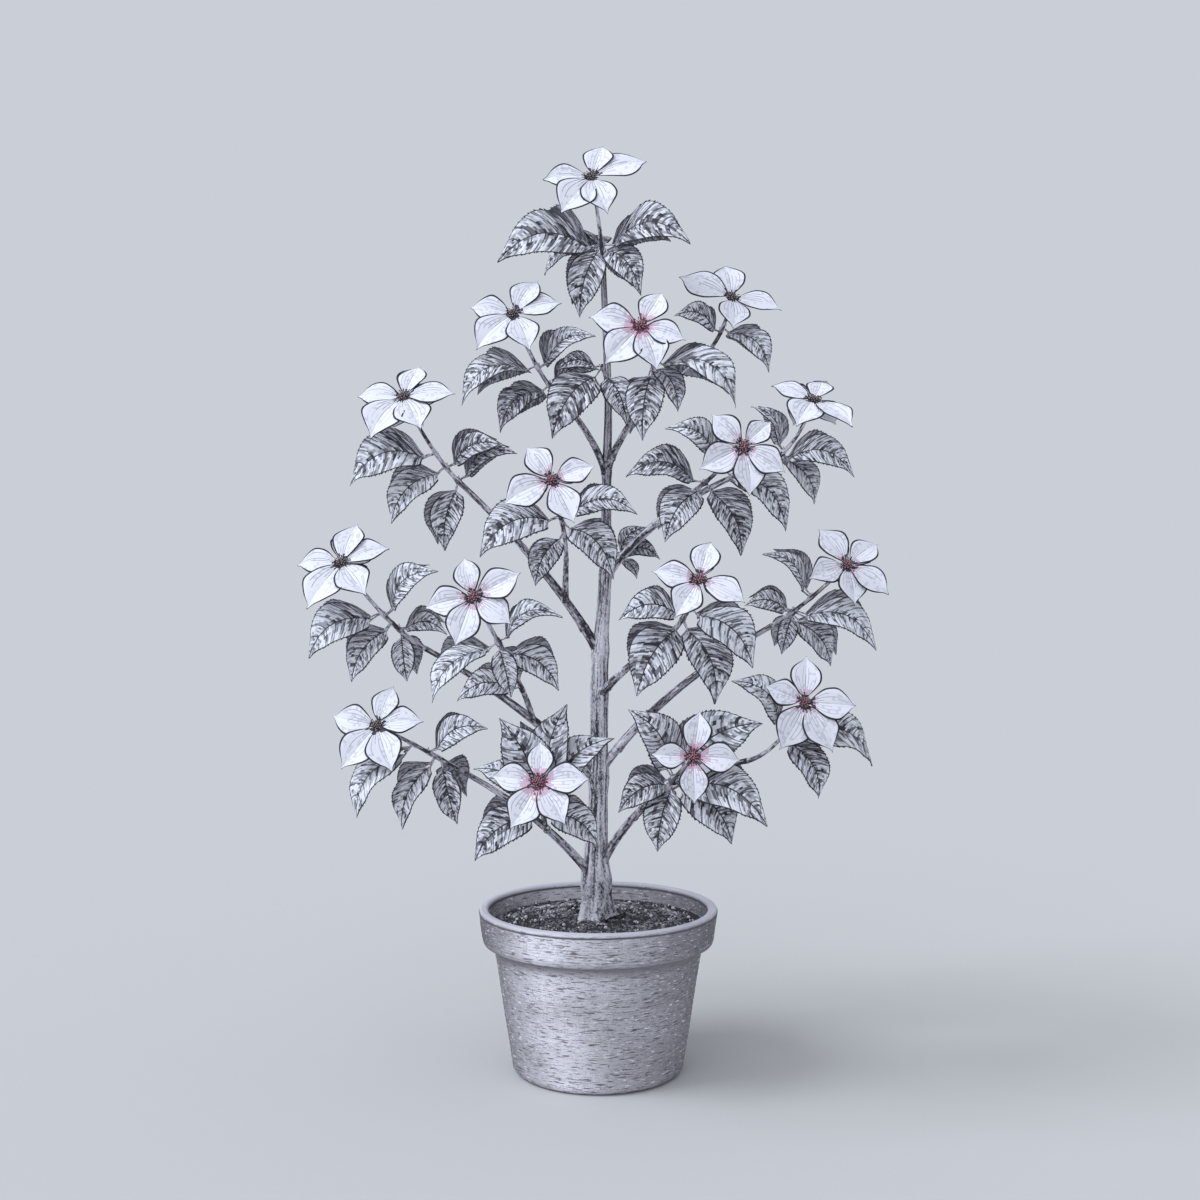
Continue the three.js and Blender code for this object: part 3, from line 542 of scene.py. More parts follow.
# ============ meshes
# The seeds of the surfaces' own random draws.
WOOD_SEED, TWIG_SEED, LEAF_SEED, BRACT_SEED, FLORET_SEED, POT_SEED, SOIL_SEED = range(71, 78)


def new_object(name, data):
    thing = bpy.data.objects.new(name, data)
    bpy.context.scene.collection.objects.link(thing)
    return thing


class Batch:
    """Many small surfaces gathered into one mesh. A face's tone is its material's number."""

    def __init__(self):
        self.points, self.faces, self.tones, self.count = [], [], [], 0

    def add(self, points, faces, tones):
        self.points.append(points)
        self.faces.append(np.where(faces < 0, faces, faces + self.count))
        self.tones.append(np.broadcast_to(tones, len(faces)))
        self.count += len(points)

    def piece(self, name, materials):
        mesh = bpy.data.meshes.new(name)
        faces = np.concatenate(self.faces)
        corners = faces >= 0
        sizes = corners.sum(axis=1)
        mesh.vertices.add(self.count)
        mesh.vertices.foreach_set("co", (np.concatenate(self.points) * MM).astype(np.float32).ravel())
        mesh.loops.add(int(sizes.sum()))
        mesh.loops.foreach_set("vertex_index", faces[corners].astype(np.int32))
        mesh.polygons.add(len(faces))
        mesh.polygons.foreach_set("loop_start", (np.cumsum(sizes) - sizes).astype(np.int32))
        for material in materials:
            mesh.materials.append(material)
        mesh.polygons.foreach_set("material_index", np.concatenate(self.tones).astype(np.int32))
        mesh.update(calc_edges=True)
        mesh.validate()
        mesh.shade_smooth()
        return new_object(name, mesh)


def turns(count):
    """Equal steps round a circle."""
    return 2 * np.pi * np.arange(count) / count


def ring_points(radius, turn, height):
    """Points round the pot's upright axis."""
    return np.stack(np.broadcast_arrays(radius * np.cos(turn), radius * np.sin(turn), height), -1)


def grid_faces(rows, columns, wrap=False):
    """Quads of a rows by columns net of points, in the order of its cells."""
    r, c = np.meshgrid(np.arange(rows - 1), np.arange(columns if wrap else columns - 1), indexing="ij")
    d = (c + 1) % columns
    low, high = r * columns, (r + 1) * columns
    return np.stack([low + c, low + d, high + d, high + c], -1).reshape(-1, 4)


def fan_faces(ring, hub, inward=False):
    """Triangles from a closed ring of point numbers to one hub point."""
    ahead = np.roll(ring, -1)
    pair = (ahead, ring) if inward else (ring, ahead)
    return np.stack([*pair, np.full(len(ring), hub), np.full(len(ring), -1)], -1)


def closed_net(net, foot, tip):
    """The points and faces of a stack of rings that is closed at both ends by a hub point."""
    rows, sides = net.shape[:2]
    ring, hub = np.arange(sides), rows * sides
    faces = [grid_faces(rows, sides, True), fan_faces(ring, hub, True),
             fan_faces(ring + hub - sides, hub + 1)]
    return np.vstack([net.reshape(-1, 3), [foot, tip]]), np.vstack(faces)


def streaks(rng, rows, columns, length, width, wrap=True):
    """Smooth random streaks from -1 to 1 on a net, in cells of about length by width."""
    tall, wide = max(2, round(rows / length) + 1), max(3, round(columns / width) + (not wrap))
    seeds = rng.uniform(-1, 1, (tall, wide))
    if wrap:
        seeds = np.concatenate([seeds, seeds[:, :1]], axis=1)
    down = np.linspace(0, tall - 1, rows)
    over = np.linspace(0, seeds.shape[1] - 1, columns + wrap)[:columns]
    i, j = np.minimum(down.astype(int), tall - 2), np.minimum(over.astype(int), seeds.shape[1] - 2)
    f, g = (down - i)[:, None], (over - j)[None]
    f, g = f * f * (3 - 2 * f), g * g * (3 - 2 * g)
    at = lambda a, b: seeds[np.ix_(a, b)]
    return (at(i, j) * (1 - f) * (1 - g) + at(i + 1, j) * f * (1 - g)
            + at(i, j + 1) * (1 - f) * g + at(i + 1, j + 1) * f * g)


def smoothstep(low, high, value):
    t = np.clip((value - low) / (high - low), 0, 1)
    return t * t * (3 - 2 * t)


def bell(distance, width):
    return np.exp(-((distance / width) ** 2))


def tube_points(path, radii, sides):
    """Rings round a path, carried along it without twist. radii has one row for each ring."""
    ahead = np.vstack([path[1:], path[-1:]]) - np.vstack([path[:1], path[:-1]])
    ahead /= norm(ahead, axis=1)[:, None]
    side = vec(1, 0, 0) if abs(ahead[0][2]) > 0.9 else vec(0, 0, 1)
    turn = turns(sides)[:, None]
    radii = np.broadcast_to(np.asarray(radii, float).reshape(len(path), -1), (len(path), sides))
    rings = np.empty((len(path), sides, 3))
    for k, axis in enumerate(ahead):
        side = unit(side - axis * side.dot(axis))
        r = radii[k][:, None]
        rings[k] = path[k] + side * r * np.cos(turn) + np.cross(axis, side) * r * np.sin(turn)
    return rings


def add_tube(batch, path, radii, sides, tones):
    """A closed tube. tones is one number, or one for each cell of its net."""
    points, faces = closed_net(tube_points(path, radii, sides), path[0], path[-1])
    tones = np.broadcast_to(np.ravel(tones), (len(path) - 1) * sides)
    batch.add(points, faces, np.concatenate([tones, np.full(2 * sides, tones[0])]))


# ============ materials
SHINE = 0.25
GRAIN_DETAIL = 5
GRAIN_STRENGTH = 0.6


def srgb(r, g, b):
    """An 8-bit screen colour as linear light."""
    level = lambda v: v / 12.92 if v <= 0.04045 else ((v + 0.055) / 1.055) ** 2.4
    return (level(r / 255), level(g / 255), level(b / 255), 1)


def feed(tree, node, inputs):
    """Fills a node's inputs, given by name or number. A socket is linked, any other value is set."""
    for key, value in inputs.items():
        if isinstance(value, bpy.types.NodeSocket):
            tree.links.new(value, node.inputs[key])
        else:
            node.inputs[key].default_value = value
    return node


def add_node(tree, kind, inputs):
    return feed(tree, tree.nodes.new("ShaderNode" + kind), inputs)


def noise(tree, scale, stretch, detail):
    place = add_node(tree, "TexCoord", {})
    mapping = add_node(tree, "Mapping", {"Scale": stretch, "Vector": place.outputs["Object"]})
    values = {"Scale": scale, "Detail": detail, "Vector": mapping.outputs["Vector"]}
    return add_node(tree, "TexNoise", values).outputs["Fac"]


def surface(name, colour, roughness, grain, depth, stretch=(1, 1, 1), rough_spread=0.1, sheen=0.0):
    """A plain base colour with a fine procedural relief and uneven roughness."""
    material = bpy.data.materials.new(name)
    material.use_nodes = True
    tree = material.node_tree
    fine = noise(tree, grain, stretch, GRAIN_DETAIL)
    bump = add_node(tree, "Bump", {"Strength": GRAIN_STRENGTH, "Distance": depth, "Height": fine})
    rough = add_node(tree, "MapRange", {
        "Value": fine, "To Min": roughness - rough_spread, "To Max": min(1.0, roughness + rough_spread)})
    feed(tree, tree.nodes["Principled BSDF"], {
        "Base Color": colour, "Specular IOR Level": SHINE, "Sheen Weight": sheen,
        "Normal": bump.outputs["Normal"], "Roughness": rough.outputs["Result"]})
    return material


def tone_set(kind, grain, depth, rows, **finish):
    """A material for each row: its name, its screen colour and its roughness."""
    return [surface(f"{kind}_{name}", srgb(*colour), roughness, grain, depth, **finish)
            for name, *colour, roughness in rows]


BARK_TONES = tone_set("bark", 900, 0.0003, [
    ("pale", 236, 234, 243, 0.85),
    ("light", 216, 214, 223, 0.85),
    ("mid", 178, 176, 185, 0.88),
    ("dark", 118, 116, 124, 0.9),
    ("furrow", 64, 63, 69, 0.95),
], stretch=(1, 1, 0.25))
LEAF_TONES = tone_set("leaf", 1400, 0.0002, [
    ("pale", 226, 227, 235, 0.55),
    ("light", 200, 201, 209, 0.55),
    ("mid", 164, 165, 173, 0.58),
    ("deep", 112, 112, 119, 0.6),
    ("vein", 56, 56, 62, 0.6),
    ("back", 178, 179, 187, 0.75),
    ("back_vein", 92, 92, 99, 0.75),
])
LEAF_VEIN = 4
# The tone of the lower face under each tone of the upper one.
LEAF_BACKS = [5, 5, 3, 6, 6]
BRACT_TONES = tone_set("bract", 1100, 0.0002, [
    ("white", 232, 232, 241, 0.6),
    ("shade", 212, 211, 223, 0.6),
], sheen=0.1) + tone_set("bract", 1100, 0.0002, [
    ("vein", 166, 162, 178, 0.6),
    ("edge", 50, 49, 55, 0.7),
    ("blush", 212, 184, 202, 0.6),
    ("crimson", 140, 86, 107, 0.65),
    ("throat", 80, 77, 85, 0.65),
    ("back", 226, 227, 232, 0.7),
])
SHADE, VEIN, EDGE, FLUSH, CRIMSON, THROAT, BACK = range(1, 8)
FLORET_TONES = tone_set("floret", 2000, 0.0002, [
    ("dark", 58, 54, 58, 0.6),
    ("brown", 96, 88, 88, 0.6),
    ("tip", 152, 144, 140, 0.6),
    ("crimson", 124, 54, 78, 0.55),
    ("rose", 152, 90, 111, 0.55),
])
FLORET_DARK, FLORET_BROWN, FLORET_TIP, FLORET_CRIMSON, FLORET_ROSE = range(5)
SOIL_TONES = tone_set("soil", 500, 0.0012, [
    ("dark", 66, 64, 68, 1.0),
    ("mid", 136, 133, 139, 1.0),
    ("pale", 220, 217, 224, 1.0),
], rough_spread=0.0)
# A surface is darker where its value is higher: the values at which the next tone begins.
BARK_STEPS = [-0.35, 0.0, 0.3, 0.62]
LEAF_STEPS = [-0.3, -0.02, 0.26, 0.66]
SOIL_STEPS = [0.5, 2.2]


# ============ wood
TRUNK_RINGS, TRUNK_SIDES = 420, 76
BOUGH_RINGS, BOUGH_SIDES = 80, 22
STEM_RINGS, STEM_SIDES = 36, 12
STALK_RINGS, STALK_SIDES = 12, 8
TRUNK_CUT = SOIL_TOP + GAP
# Near its foot the trunk's rings stand closer, and its swelling isn't softened there.
ROOT_ZONE = 60
ROOT_PACKING = 1.35
ROOT_RINGS = 20
SWAY_SOFTENING = 14
GIRTH_SOFTENING = 6
TRUNK_BARK_DEPTH, BOUGH_BARK_DEPTH, STEM_BARK_DEPTH = 0.055, 0.07, 0.08
TRUNK_BARK_LEVEL = 0.3
NODE_SWELL = 0.10
# How much darker the wood is on the boughs and stems, and up the trunk between the two heights below.
WOOD_DARKENING = 0.26
DARKENING_FROM, DARKENING_ABOVE = 250, 480
COLLAR = 0.3
BOUGH_TIP_SWELL = 0.14
CREST_CARRIER_RADIUS = 3.0
SPRIG_CARRIER_RADIUS = 2.0
STEM_ROOT = 3.0
LEAF_NODE_SWELL = 0.55
BLOOM_SWELL = 1.5
BUD_LENGTH = 4.6
BUD_GIRTH = 1.15
# How many long furrows and how many broken ones follow each other along a limb.
TRUNK_FURROWS = (11, 38)
BOUGH_FURROWS = (5, 14)

wood_random = np.random.default_rng(WOOD_SEED)


def bark_relief(rng, rows, columns, furrows):
    """Long shallow furrows with finer cracks, from -1 to 1, deep where the value is low."""
    long = streaks(rng, rows, columns, rows / furrows[0], 3.2)
    broken = streaks(rng, rows, columns, rows / furrows[1], 1.5)
    fine = streaks(rng, rows, columns, 2.6, 1.1)
    return 0.36 * long + 0.38 * broken + 0.26 * fine


def bark_tones(rng, relief, darkening):
    """Furrows are dark and ridges pale, with stray flecks. The wood is darker higher up the trunk and on
    the boughs and stems.
    """
    fleck = rng.uniform(-1, 1, relief.shape) * 0.28
    drift = streaks(rng, *relief.shape, relief.shape[0] / 7, 6) * 0.22
    return np.digitize(-relief * 1.25 + fleck + drift + 0.12 + darkening, BARK_STEPS)


def add_bark(batch, rng, path, radii, sides, furrows, depth, darkening, level=0.0):
    """A limb with furrowed bark, which is cut in below its level and stands up above it."""
    relief = bark_relief(rng, len(path), sides, furrows)
    radii = radii * (1 + depth * (relief - level))
    add_tube(batch, path, radii, sides, bark_tones(rng, relief[:-1], darkening))


def trunk_piece():
    heights = np.linspace(0, TRUNK[-1][0], TRUNK_RINGS)
    packed = ROOT_ZONE * (heights / ROOT_ZONE) ** ROOT_PACKING
    heights = np.where(heights < ROOT_ZONE, packed, heights)
    column = lambda k: np.interp(heights, [row[0] for row in TRUNK], [row[k] for row in TRUNK])
    soften = lambda v, n: np.convolve(np.pad(v, n, mode="edge"), np.ones(2 * n + 1) / (2 * n + 1), "valid")
    sway = [soften(column(k), SWAY_SOFTENING) for k in (1, 2)]
    path = np.stack([*sway, TRUNK_CUT + heights], -1)
    radius = column(3)
    radius[ROOT_RINGS:] = soften(radius, GIRTH_SOFTENING)[ROOT_RINGS:]
    for limb in boughs.values():
        start = limb["curve"][0]
        if norm(path - start, axis=1).min() < 3:
            radius = radius * (1 + NODE_SWELL * bell(path[:, 2] - start[2] - 2, radius * 1.1))
    fade = np.clip(1 - heights / ROOT_LOBE_REACH, 0, 1)[:, None]
    lobes = 1 + ROOT_LOBE_DEPTH * fade * np.cos(ROOT_LOBES * turns(TRUNK_SIDES) + ROOT_LOBE_TURN)
    darkening = WOOD_DARKENING * smoothstep(DARKENING_FROM, DARKENING_ABOVE, heights[:-1, None])
    batch = Batch()
    add_bark(batch, wood_random, path, radius[:, None] * lobes, TRUNK_SIDES, TRUNK_FURROWS,
             TRUNK_BARK_DEPTH, darkening, TRUNK_BARK_LEVEL)
    return batch.piece("bark_trunk", BARK_TONES)


def bough_piece():
    """Each bough has a collar at its foot and swells a little where its shoot begins."""
    batch = Batch()
    for limb in boughs.values():
        path = quadratic(*limb["curve"], BOUGH_RINGS - 1)
        walked = np.concatenate([[0], np.cumsum(norm(np.diff(path, axis=0), axis=1))])
        girth, share = limb["radii"][0], np.linspace(0, 1, BOUGH_RINGS)
        radius = girth + (BOUGH_TIP_RADIUS - girth) * share
        trunk_here = np.interp(path[0][2], trunk_path[:, 2], trunk_radii)
        parent_radius = trunk_here if limb["from_trunk"] else girth
        radius *= 1 + COLLAR * np.exp(-np.clip(walked - parent_radius * 0.75, 0, None) / (girth * 0.9))
        radius *= 1 + BOUGH_TIP_SWELL * bell(walked[-1] - walked, 4)
        add_bark(batch, wood_random, path, radius[:, None], BOUGH_SIDES, BOUGH_FURROWS,
                 BOUGH_BARK_DEPTH, WOOD_DARKENING)
    return batch.piece("bark_boughs", BARK_TONES)


def add_bud(batch, root, heading):
    """A small pointed winter bud of two scales."""
    share = np.array([0, 0.18, 0.42, 0.7, 0.88, 1.0])
    wide = np.array([0.5, 0.95, 1.0, 0.62, 0.3, 0.06]) * BUD_GIRTH
    tones = np.repeat([[3], [2], [1], [2], [3]], 6, axis=1)
    add_tube(batch, root + heading * BUD_LENGTH * share[:, None], wide, 6, tones)


def add_stalk(batch, root, blade, rng):
    """A leaf stalk leaves its stem with a flared foot and runs on into the leaf's rib."""
    base = blade["base"]
    middle = (root + base) / 2 + vec(0, 0, norm(base - root) * 0.1)
    end = base + blade["ahead"] * blade["length"] * 0.05
    share = np.linspace(0, 1, STALK_RINGS)
    radii = 0.85 + 0.75 * np.exp(-share * 7) + 0.25 * smoothstep(0.75, 1, share)
    tones = np.digitize(rng.uniform(-0.3, 0.75, (STALK_RINGS - 1, STALK_SIDES)), BARK_STEPS)
    add_tube(batch, quadratic(root, middle, end, STALK_RINGS - 1), radii, STALK_SIDES, tones)


def carrier_radius(shoot):
    """The radius of the wood that a shoot's stem grows on from."""
    if shoot["name"] in boughs:
        return BOUGH_TIP_RADIUS
    return CREST_CARRIER_RADIUS if shoot["bracts"] else SPRIG_CARRIER_RADIUS


def add_twigs(batch, shoot, rng):
    """A stem that grows on from its bough, with swollen nodes, leaf stalks and buds."""
    start, bend, end = shoot["stem"]["curve"]
    path = quadratic(start, bend, end, STEM_RINGS - 1)
    path = np.vstack([start - unit(bend - start) * STEM_ROOT, path])
    share = np.concatenate([[0], np.linspace(0, 1, STEM_RINGS)])
    radius = STEM_FOOT_RADIUS + (STEM_TIP_RADIUS - STEM_FOOT_RADIUS) * share
    radius += (carrier_radius(shoot) - STEM_FOOT_RADIUS) * np.exp(-share * 14)
    for row in shoot["row"]["leaves"]:
        radius += LEAF_NODE_SWELL * bell(share - (1 - row[0]), 0.03)
    if shoot["bracts"]:
        radius += BLOOM_SWELL * smoothstep(0.93, 1, share)
    add_bark(batch, rng, path, radius[:, None], STEM_SIDES, BOUGH_FURROWS, STEM_BARK_DEPTH, WOOD_DARKENING)
    for leaf in shoot["leaves"]:
        add_stalk(batch, leaf["root"], leaf["blade"], rng)
        bud_way = unit(unit(end - start) + 0.8 * unit(leaf["blade"]["ahead"]) + vec(0, 0, 0.3))
        add_bud(batch, leaf["root"] + bud_way * 1.2, bud_way)


# ============ leaves
VEINS = [0.06, 0.18, 0.31, 0.45, 0.60, 0.75]
VEIN_WIDTH = 0.0055
LAST_ROW = 0.985
PANEL_STRIPS = 6
TIP_STRIPS = 9
LEAF_COLUMNS = [0.0, "rib", 0.17, 0.34, 0.52, 0.73, "margin", 1.0]
RIB_HALF = 0.8
WIDEST_RIB = 0.16
MARGIN_WIDTH = 1.3
WIDEST_MARGIN = 0.85
LEAF_SKIN = 0.5
TOOTH = 0.05
PANEL_PUFF = 0.011
RIB_SINK = 0.007
WAVE = (0.01, 0.028)
LEAF_DARKNESS = 0.06
# Painted shade: how much lighter leaves out at the crown's edge are than leaves near the trunk.
PAINTED_CROWN_SHADE = 0.2
DARKNESS_SPREAD = 0.15


def leaf_rows():
    """Where the rows of a leaf's net leave its rib, and what lies between each row and the next."""
    places, kinds = [0.0], []

    def panel(end, strips, last):
        low = places[-1]
        places.extend(low + (end - low) * step / strips for step in range(1, strips + last))
        kinds.extend(["panel"] * strips)

    for vein in VEINS:
        panel(vein - VEIN_WIDTH, PANEL_STRIPS, 0)
        places.extend([vein - VEIN_WIDTH, vein, vein + VEIN_WIDTH])
        kinds.extend(["vein"] * 2)
    panel(LAST_ROW, TIP_STRIPS, 1)
    return np.array(places), np.array(kinds)


ROW_PLACE, ROW_KIND = leaf_rows()
ROWS = len(ROW_PLACE)


def net_columns(marks, rows, **named):
    """The columns of a net from its left edge over the rib to the right, and the side of each."""
    columns = [named[mark] if mark in named else np.full(rows, mark) for mark in marks[:0:-1] + marks]
    return np.stack(columns, -1), np.array([-1] * (len(marks) - 1) + [1] * len(marks))


def blade_points(blade, s, over, lift):
    """The points of a blade's middle surface: s runs along it from 0 to 1."""
    length = blade["length"]
    bow = 4 * s * (1 - s) * blade["bow"] * length
    return (blade["base"] + blade["ahead"] * (length * s)[..., None] + blade["across"] * over[..., None]
            + blade["face"] * lift[..., None] + blade["rise"] * bow[..., None])


def leaf_width(s):
    """Half width along a leaf, from 0 to 1: broad and round below, drawn out to a long tip."""
    s = np.clip(s, 0, 1)
    return np.sin(np.pi * s**0.74) ** 0.76 * (1 - 0.45 * smoothstep(0.72, 0.98, s))


def leaf_sweep(q):
    """How far forward a side vein has run when it reaches the margin."""
    return 0.30 * (1 - q) ** 0.8 * (0.35 + 0.65 * np.minimum(1, q / 0.25))


def panel_bulge(q):
    """1 midway between two side veins and 0 on them."""
    edges = np.array([0.0, *VEINS, 1.0])
    i = np.clip(np.searchsorted(edges, q, "right") - 1, 0, len(edges) - 2)
    return np.sin(np.pi * (q - edges[i]) / (edges[i + 1] - edges[i]))


def leaf_net(blade, rng):
    """The points of a leaf's middle surface, rows by columns, and how far out each column is."""
    length, half = blade["length"], blade["half_width"] * blade["length"]
    q = ROW_PLACE[:, None]
    here = np.maximum(leaf_width(ROW_PLACE + 0.5 * leaf_sweep(ROW_PLACE)), 0.02) * half
    rib = np.minimum(RIB_HALF * (1 - 0.6 * ROW_PLACE) / here, WIDEST_RIB)
    margin = np.maximum(1 - MARGIN_WIDTH / here, WIDEST_MARGIN)
    e, side = net_columns(LEAF_COLUMNS, ROWS, rib=rib, margin=margin)
    tooth = np.where(np.arange(ROWS) % 3 == 2, 1.0, -0.4) * TOOTH * smoothstep(0.02, 0.15, ROW_PLACE)
    e[:, [0, -1]] += (tooth * (1 - smoothstep(0.8, 0.97, ROW_PLACE)))[:, None]
    s = q + leaf_sweep(q) * e**1.3
    width = leaf_width(s) * half
    signed = e * side
    lift = 4 * s * (1 - s) * blade["arch"] * length + e * width * blade["fold"]
    lift += PANEL_PUFF * length * panel_bulge(q) * np.sin(np.pi * np.clip(e, 0, 1)) ** 0.7
    lift -= RIB_SINK * length * bell(e, 0.09) * (1 - q)
    phase, beat = rng.uniform(0, 6.28, 2)
    wave = np.sin(7 * s * np.pi / 2 + phase + (signed > 0) * beat) * e**2.5
    lift += rng.uniform(*WAVE) * length * wave * smoothstep(0.05, 0.3, s)
    return blade_points(blade, s, signed * width, lift), e


def leaf_tones(rng, darkness, e):
    """Dark ribs, veins and margin. Between them, strokes along the veins, with painted shade near the base
    and rib and beside the sunken veins.
    """
    cell_e = (e[:-1, :-1] + e[1:, 1:]) / 2
    q = ((ROW_PLACE[:-1] + ROW_PLACE[1:]) / 2)[:, None]
    stroke = streaks(rng, *cell_e.shape, (ROWS - 1) / (ROWS - 2), 1.8, False) * 0.6
    cross = streaks(rng, *cell_e.shape, 3.5, 1.1, False) * 0.3
    fleck = rng.uniform(-1, 1, cell_e.shape) * 0.5
    # Painted shade: darker towards the leaf's base and rib, and beside the side veins where the blade
    # dips.
    painted_shade_base_rib = 0.4 * (1 - cell_e) ** 1.5 + 0.2 * (1 - q) - 0.3
    painted_shade_by_veins = 0.3 * (1 - panel_bulge(q))
    tones = np.digitize(darkness + stroke + cross + fleck + painted_shade_base_rib + painted_shade_by_veins, LEAF_STEPS)
    tones[ROW_KIND == "vein"] = LEAF_VEIN
    rib = len(LEAF_COLUMNS) - 1
    tones[:, [0, rib - 1, rib, -1]] = LEAF_VEIN
    return tones, np.choose(tones, LEAF_BACKS)


def add_leaves(batch, shoot, rng):
    """Leaves near the trunk are darker than those at the outside of the crown: painted shade inside the
    crown.
    """
    for leaf in shoot["leaves"]:
        blade = leaf["blade"]
        net, e = leaf_net(blade, rng)
        out = blade["base"][:2] + blade["ahead"][:2] * blade["length"] * 0.5
        darkness = LEAF_DARKNESS - PAINTED_CROWN_SHADE * smoothstep(60, 230, norm(out))
        darkness = darkness + rng.uniform(-DARKNESS_SPREAD, DARKNESS_SPREAD)
        tones, back = leaf_tones(rng, darkness, e)
        add_blade(batch, net, blade["tip"], blade["face"] * LEAF_SKIN / 2, tones, back, LEAF_VEIN)


def add_blade(batch, net, tip, half_skin, tones, back_tones, edge_tone):
    """Closes a net of points into a thin solid with an upper and lower skin, a rim and a tip."""
    rows, columns = net.shape[:2]
    count = rows * columns
    points = np.vstack([(net + half_skin).reshape(-1, 3), (net - half_skin).reshape(-1, 3), tip])
    upper = grid_faces(rows, columns)
    numbers = np.arange(count).reshape(rows, columns)
    last, hub = numbers[-1], 2 * count
    strip = lambda a: np.stack([a[:-1], a[1:], a[1:] + count, a[:-1] + count], -1)
    rims = np.vstack([strip(numbers[::-1, -1]), strip(numbers[0, ::-1]), strip(numbers[:, 0])])
    fan = lambda a, b: np.stack([a, b, np.full(columns - 1, hub), np.full(columns - 1, -1)], -1)
    caps = np.vstack([
        fan(last[:-1], last[1:]), fan(last[1:] + count, last[:-1] + count),
        [[last[0], hub, last[0] + count, -1], [hub, last[-1], last[-1] + count, -1]],
    ])
    edge = np.full(len(rims) + len(caps), edge_tone)
    batch.add(points, np.vstack([upper, upper[:, ::-1] + count, rims, caps]),
              np.concatenate([tones.ravel(), back_tones.ravel(), edge]))


# ============ blooms
BRACT_ROWS = 18
FIRST_BRACT_ROW, LAST_BRACT_ROW = 0.03, 0.975
BRACT_COLUMNS = [0.0, 0.022, 0.17, 0.20, 0.39, 0.42, 0.62, 0.65, "margin", 1.0]
# The numbers of the columns on which a vein begins.
BRACT_VEINS = (0, 2, 4, 6)
BRACT_SKIN = 0.6
EDGE_WIDTH = 1.8
WIDEST_EDGE = 0.852
BRACT_TWIST = 0.08
VEIN_SINK = 0.006
# How far the tip curls back, the middle leans aside and the nib hooks, as shares of the length.
BRACT_SPANS = [(-0.02, 0.03), (-0.035, 0.035), (-0.03, 0.03)]
BUTTON_RADIUS = 5.5
BUTTON_HEIGHT = 5.5
FLORETS = 30
FLORET_TURN = 2.39996
STAMENS = 14
# Blooms low and near the middle of the crown flush red at the heart: how far each one does.
BLUSH = {"top_front": 0.85, "high_front_left": 0.45, "high_front_right": 0.35, "mid_front_left": 0.55,
         "mid_front_right": 0.4, "low_front_left": 1.0, "low_front_right": 0.8, "mid_right": 0.25,
         "low_right": 0.3}
DEEP_BLUSH = 0.7
FAINT_BLUSH = 0.2


def blush_of(name):
    """How red a bloom's heart is. A rear bloom is as red as its front partner."""
    return BLUSH.get(REAR_SHOOTS[name][0] if name in REAR_SHOOTS else name, 0.0)


def bract_width(s):
    """Half width along a bract, from 0 to 1: a wedge at the base, full above, then a drawn-out nib."""
    s = np.clip(s, 0, 1)
    rise = np.sin(np.pi / 2 * np.minimum(1, s / 0.52)) ** 0.92
    fall = np.cos(np.pi / 2 * np.clip((s - 0.52) / 0.48, 0, 1)) ** 1.4
    return rise * fall * (1 - 0.35 * smoothstep(0.8, 0.95, s))


def bract_tones(rng, q, cells, blush):
    """White with veins that run out at different places, a dark rim and a dark or red heart."""
    tones = np.zeros(cells, int)
    tones[rng.uniform(0, 1, cells) + streaks(rng, *cells, 6, 1.5, False) * 0.3 > 0.83] = SHADE
    rib = len(BRACT_COLUMNS) - 1
    throat = CRIMSON if blush > DEEP_BLUSH else THROAT
    vein_cells = [rib + k for k in BRACT_VEINS] + [rib - 1 - k for k in BRACT_VEINS]
    for c in vein_cells:
        tones[q[:, 0] < rng.uniform(0.3, 0.85), c] = VEIN
        tones[q[:, 0] < rng.uniform(0.13, 0.26), c] = throat
    heart = q + rng.uniform(-0.06, 0.06, cells)
    plain = np.ones(cells, bool)
    plain[:, vein_cells] = False
    tones[plain & (heart < 0.13 + 0.12 * blush) & (blush > FAINT_BLUSH)] = FLUSH
    tones[plain & (heart < 0.05 + 0.07 * blush) & (blush > DEEP_BLUSH)] = CRIMSON
    tones[plain & (heart < 0.1)] = throat
    tones[:, [0, -1]] = EDGE
    return tones, np.where((tones == VEIN) | (tones == EDGE), tones, BACK)


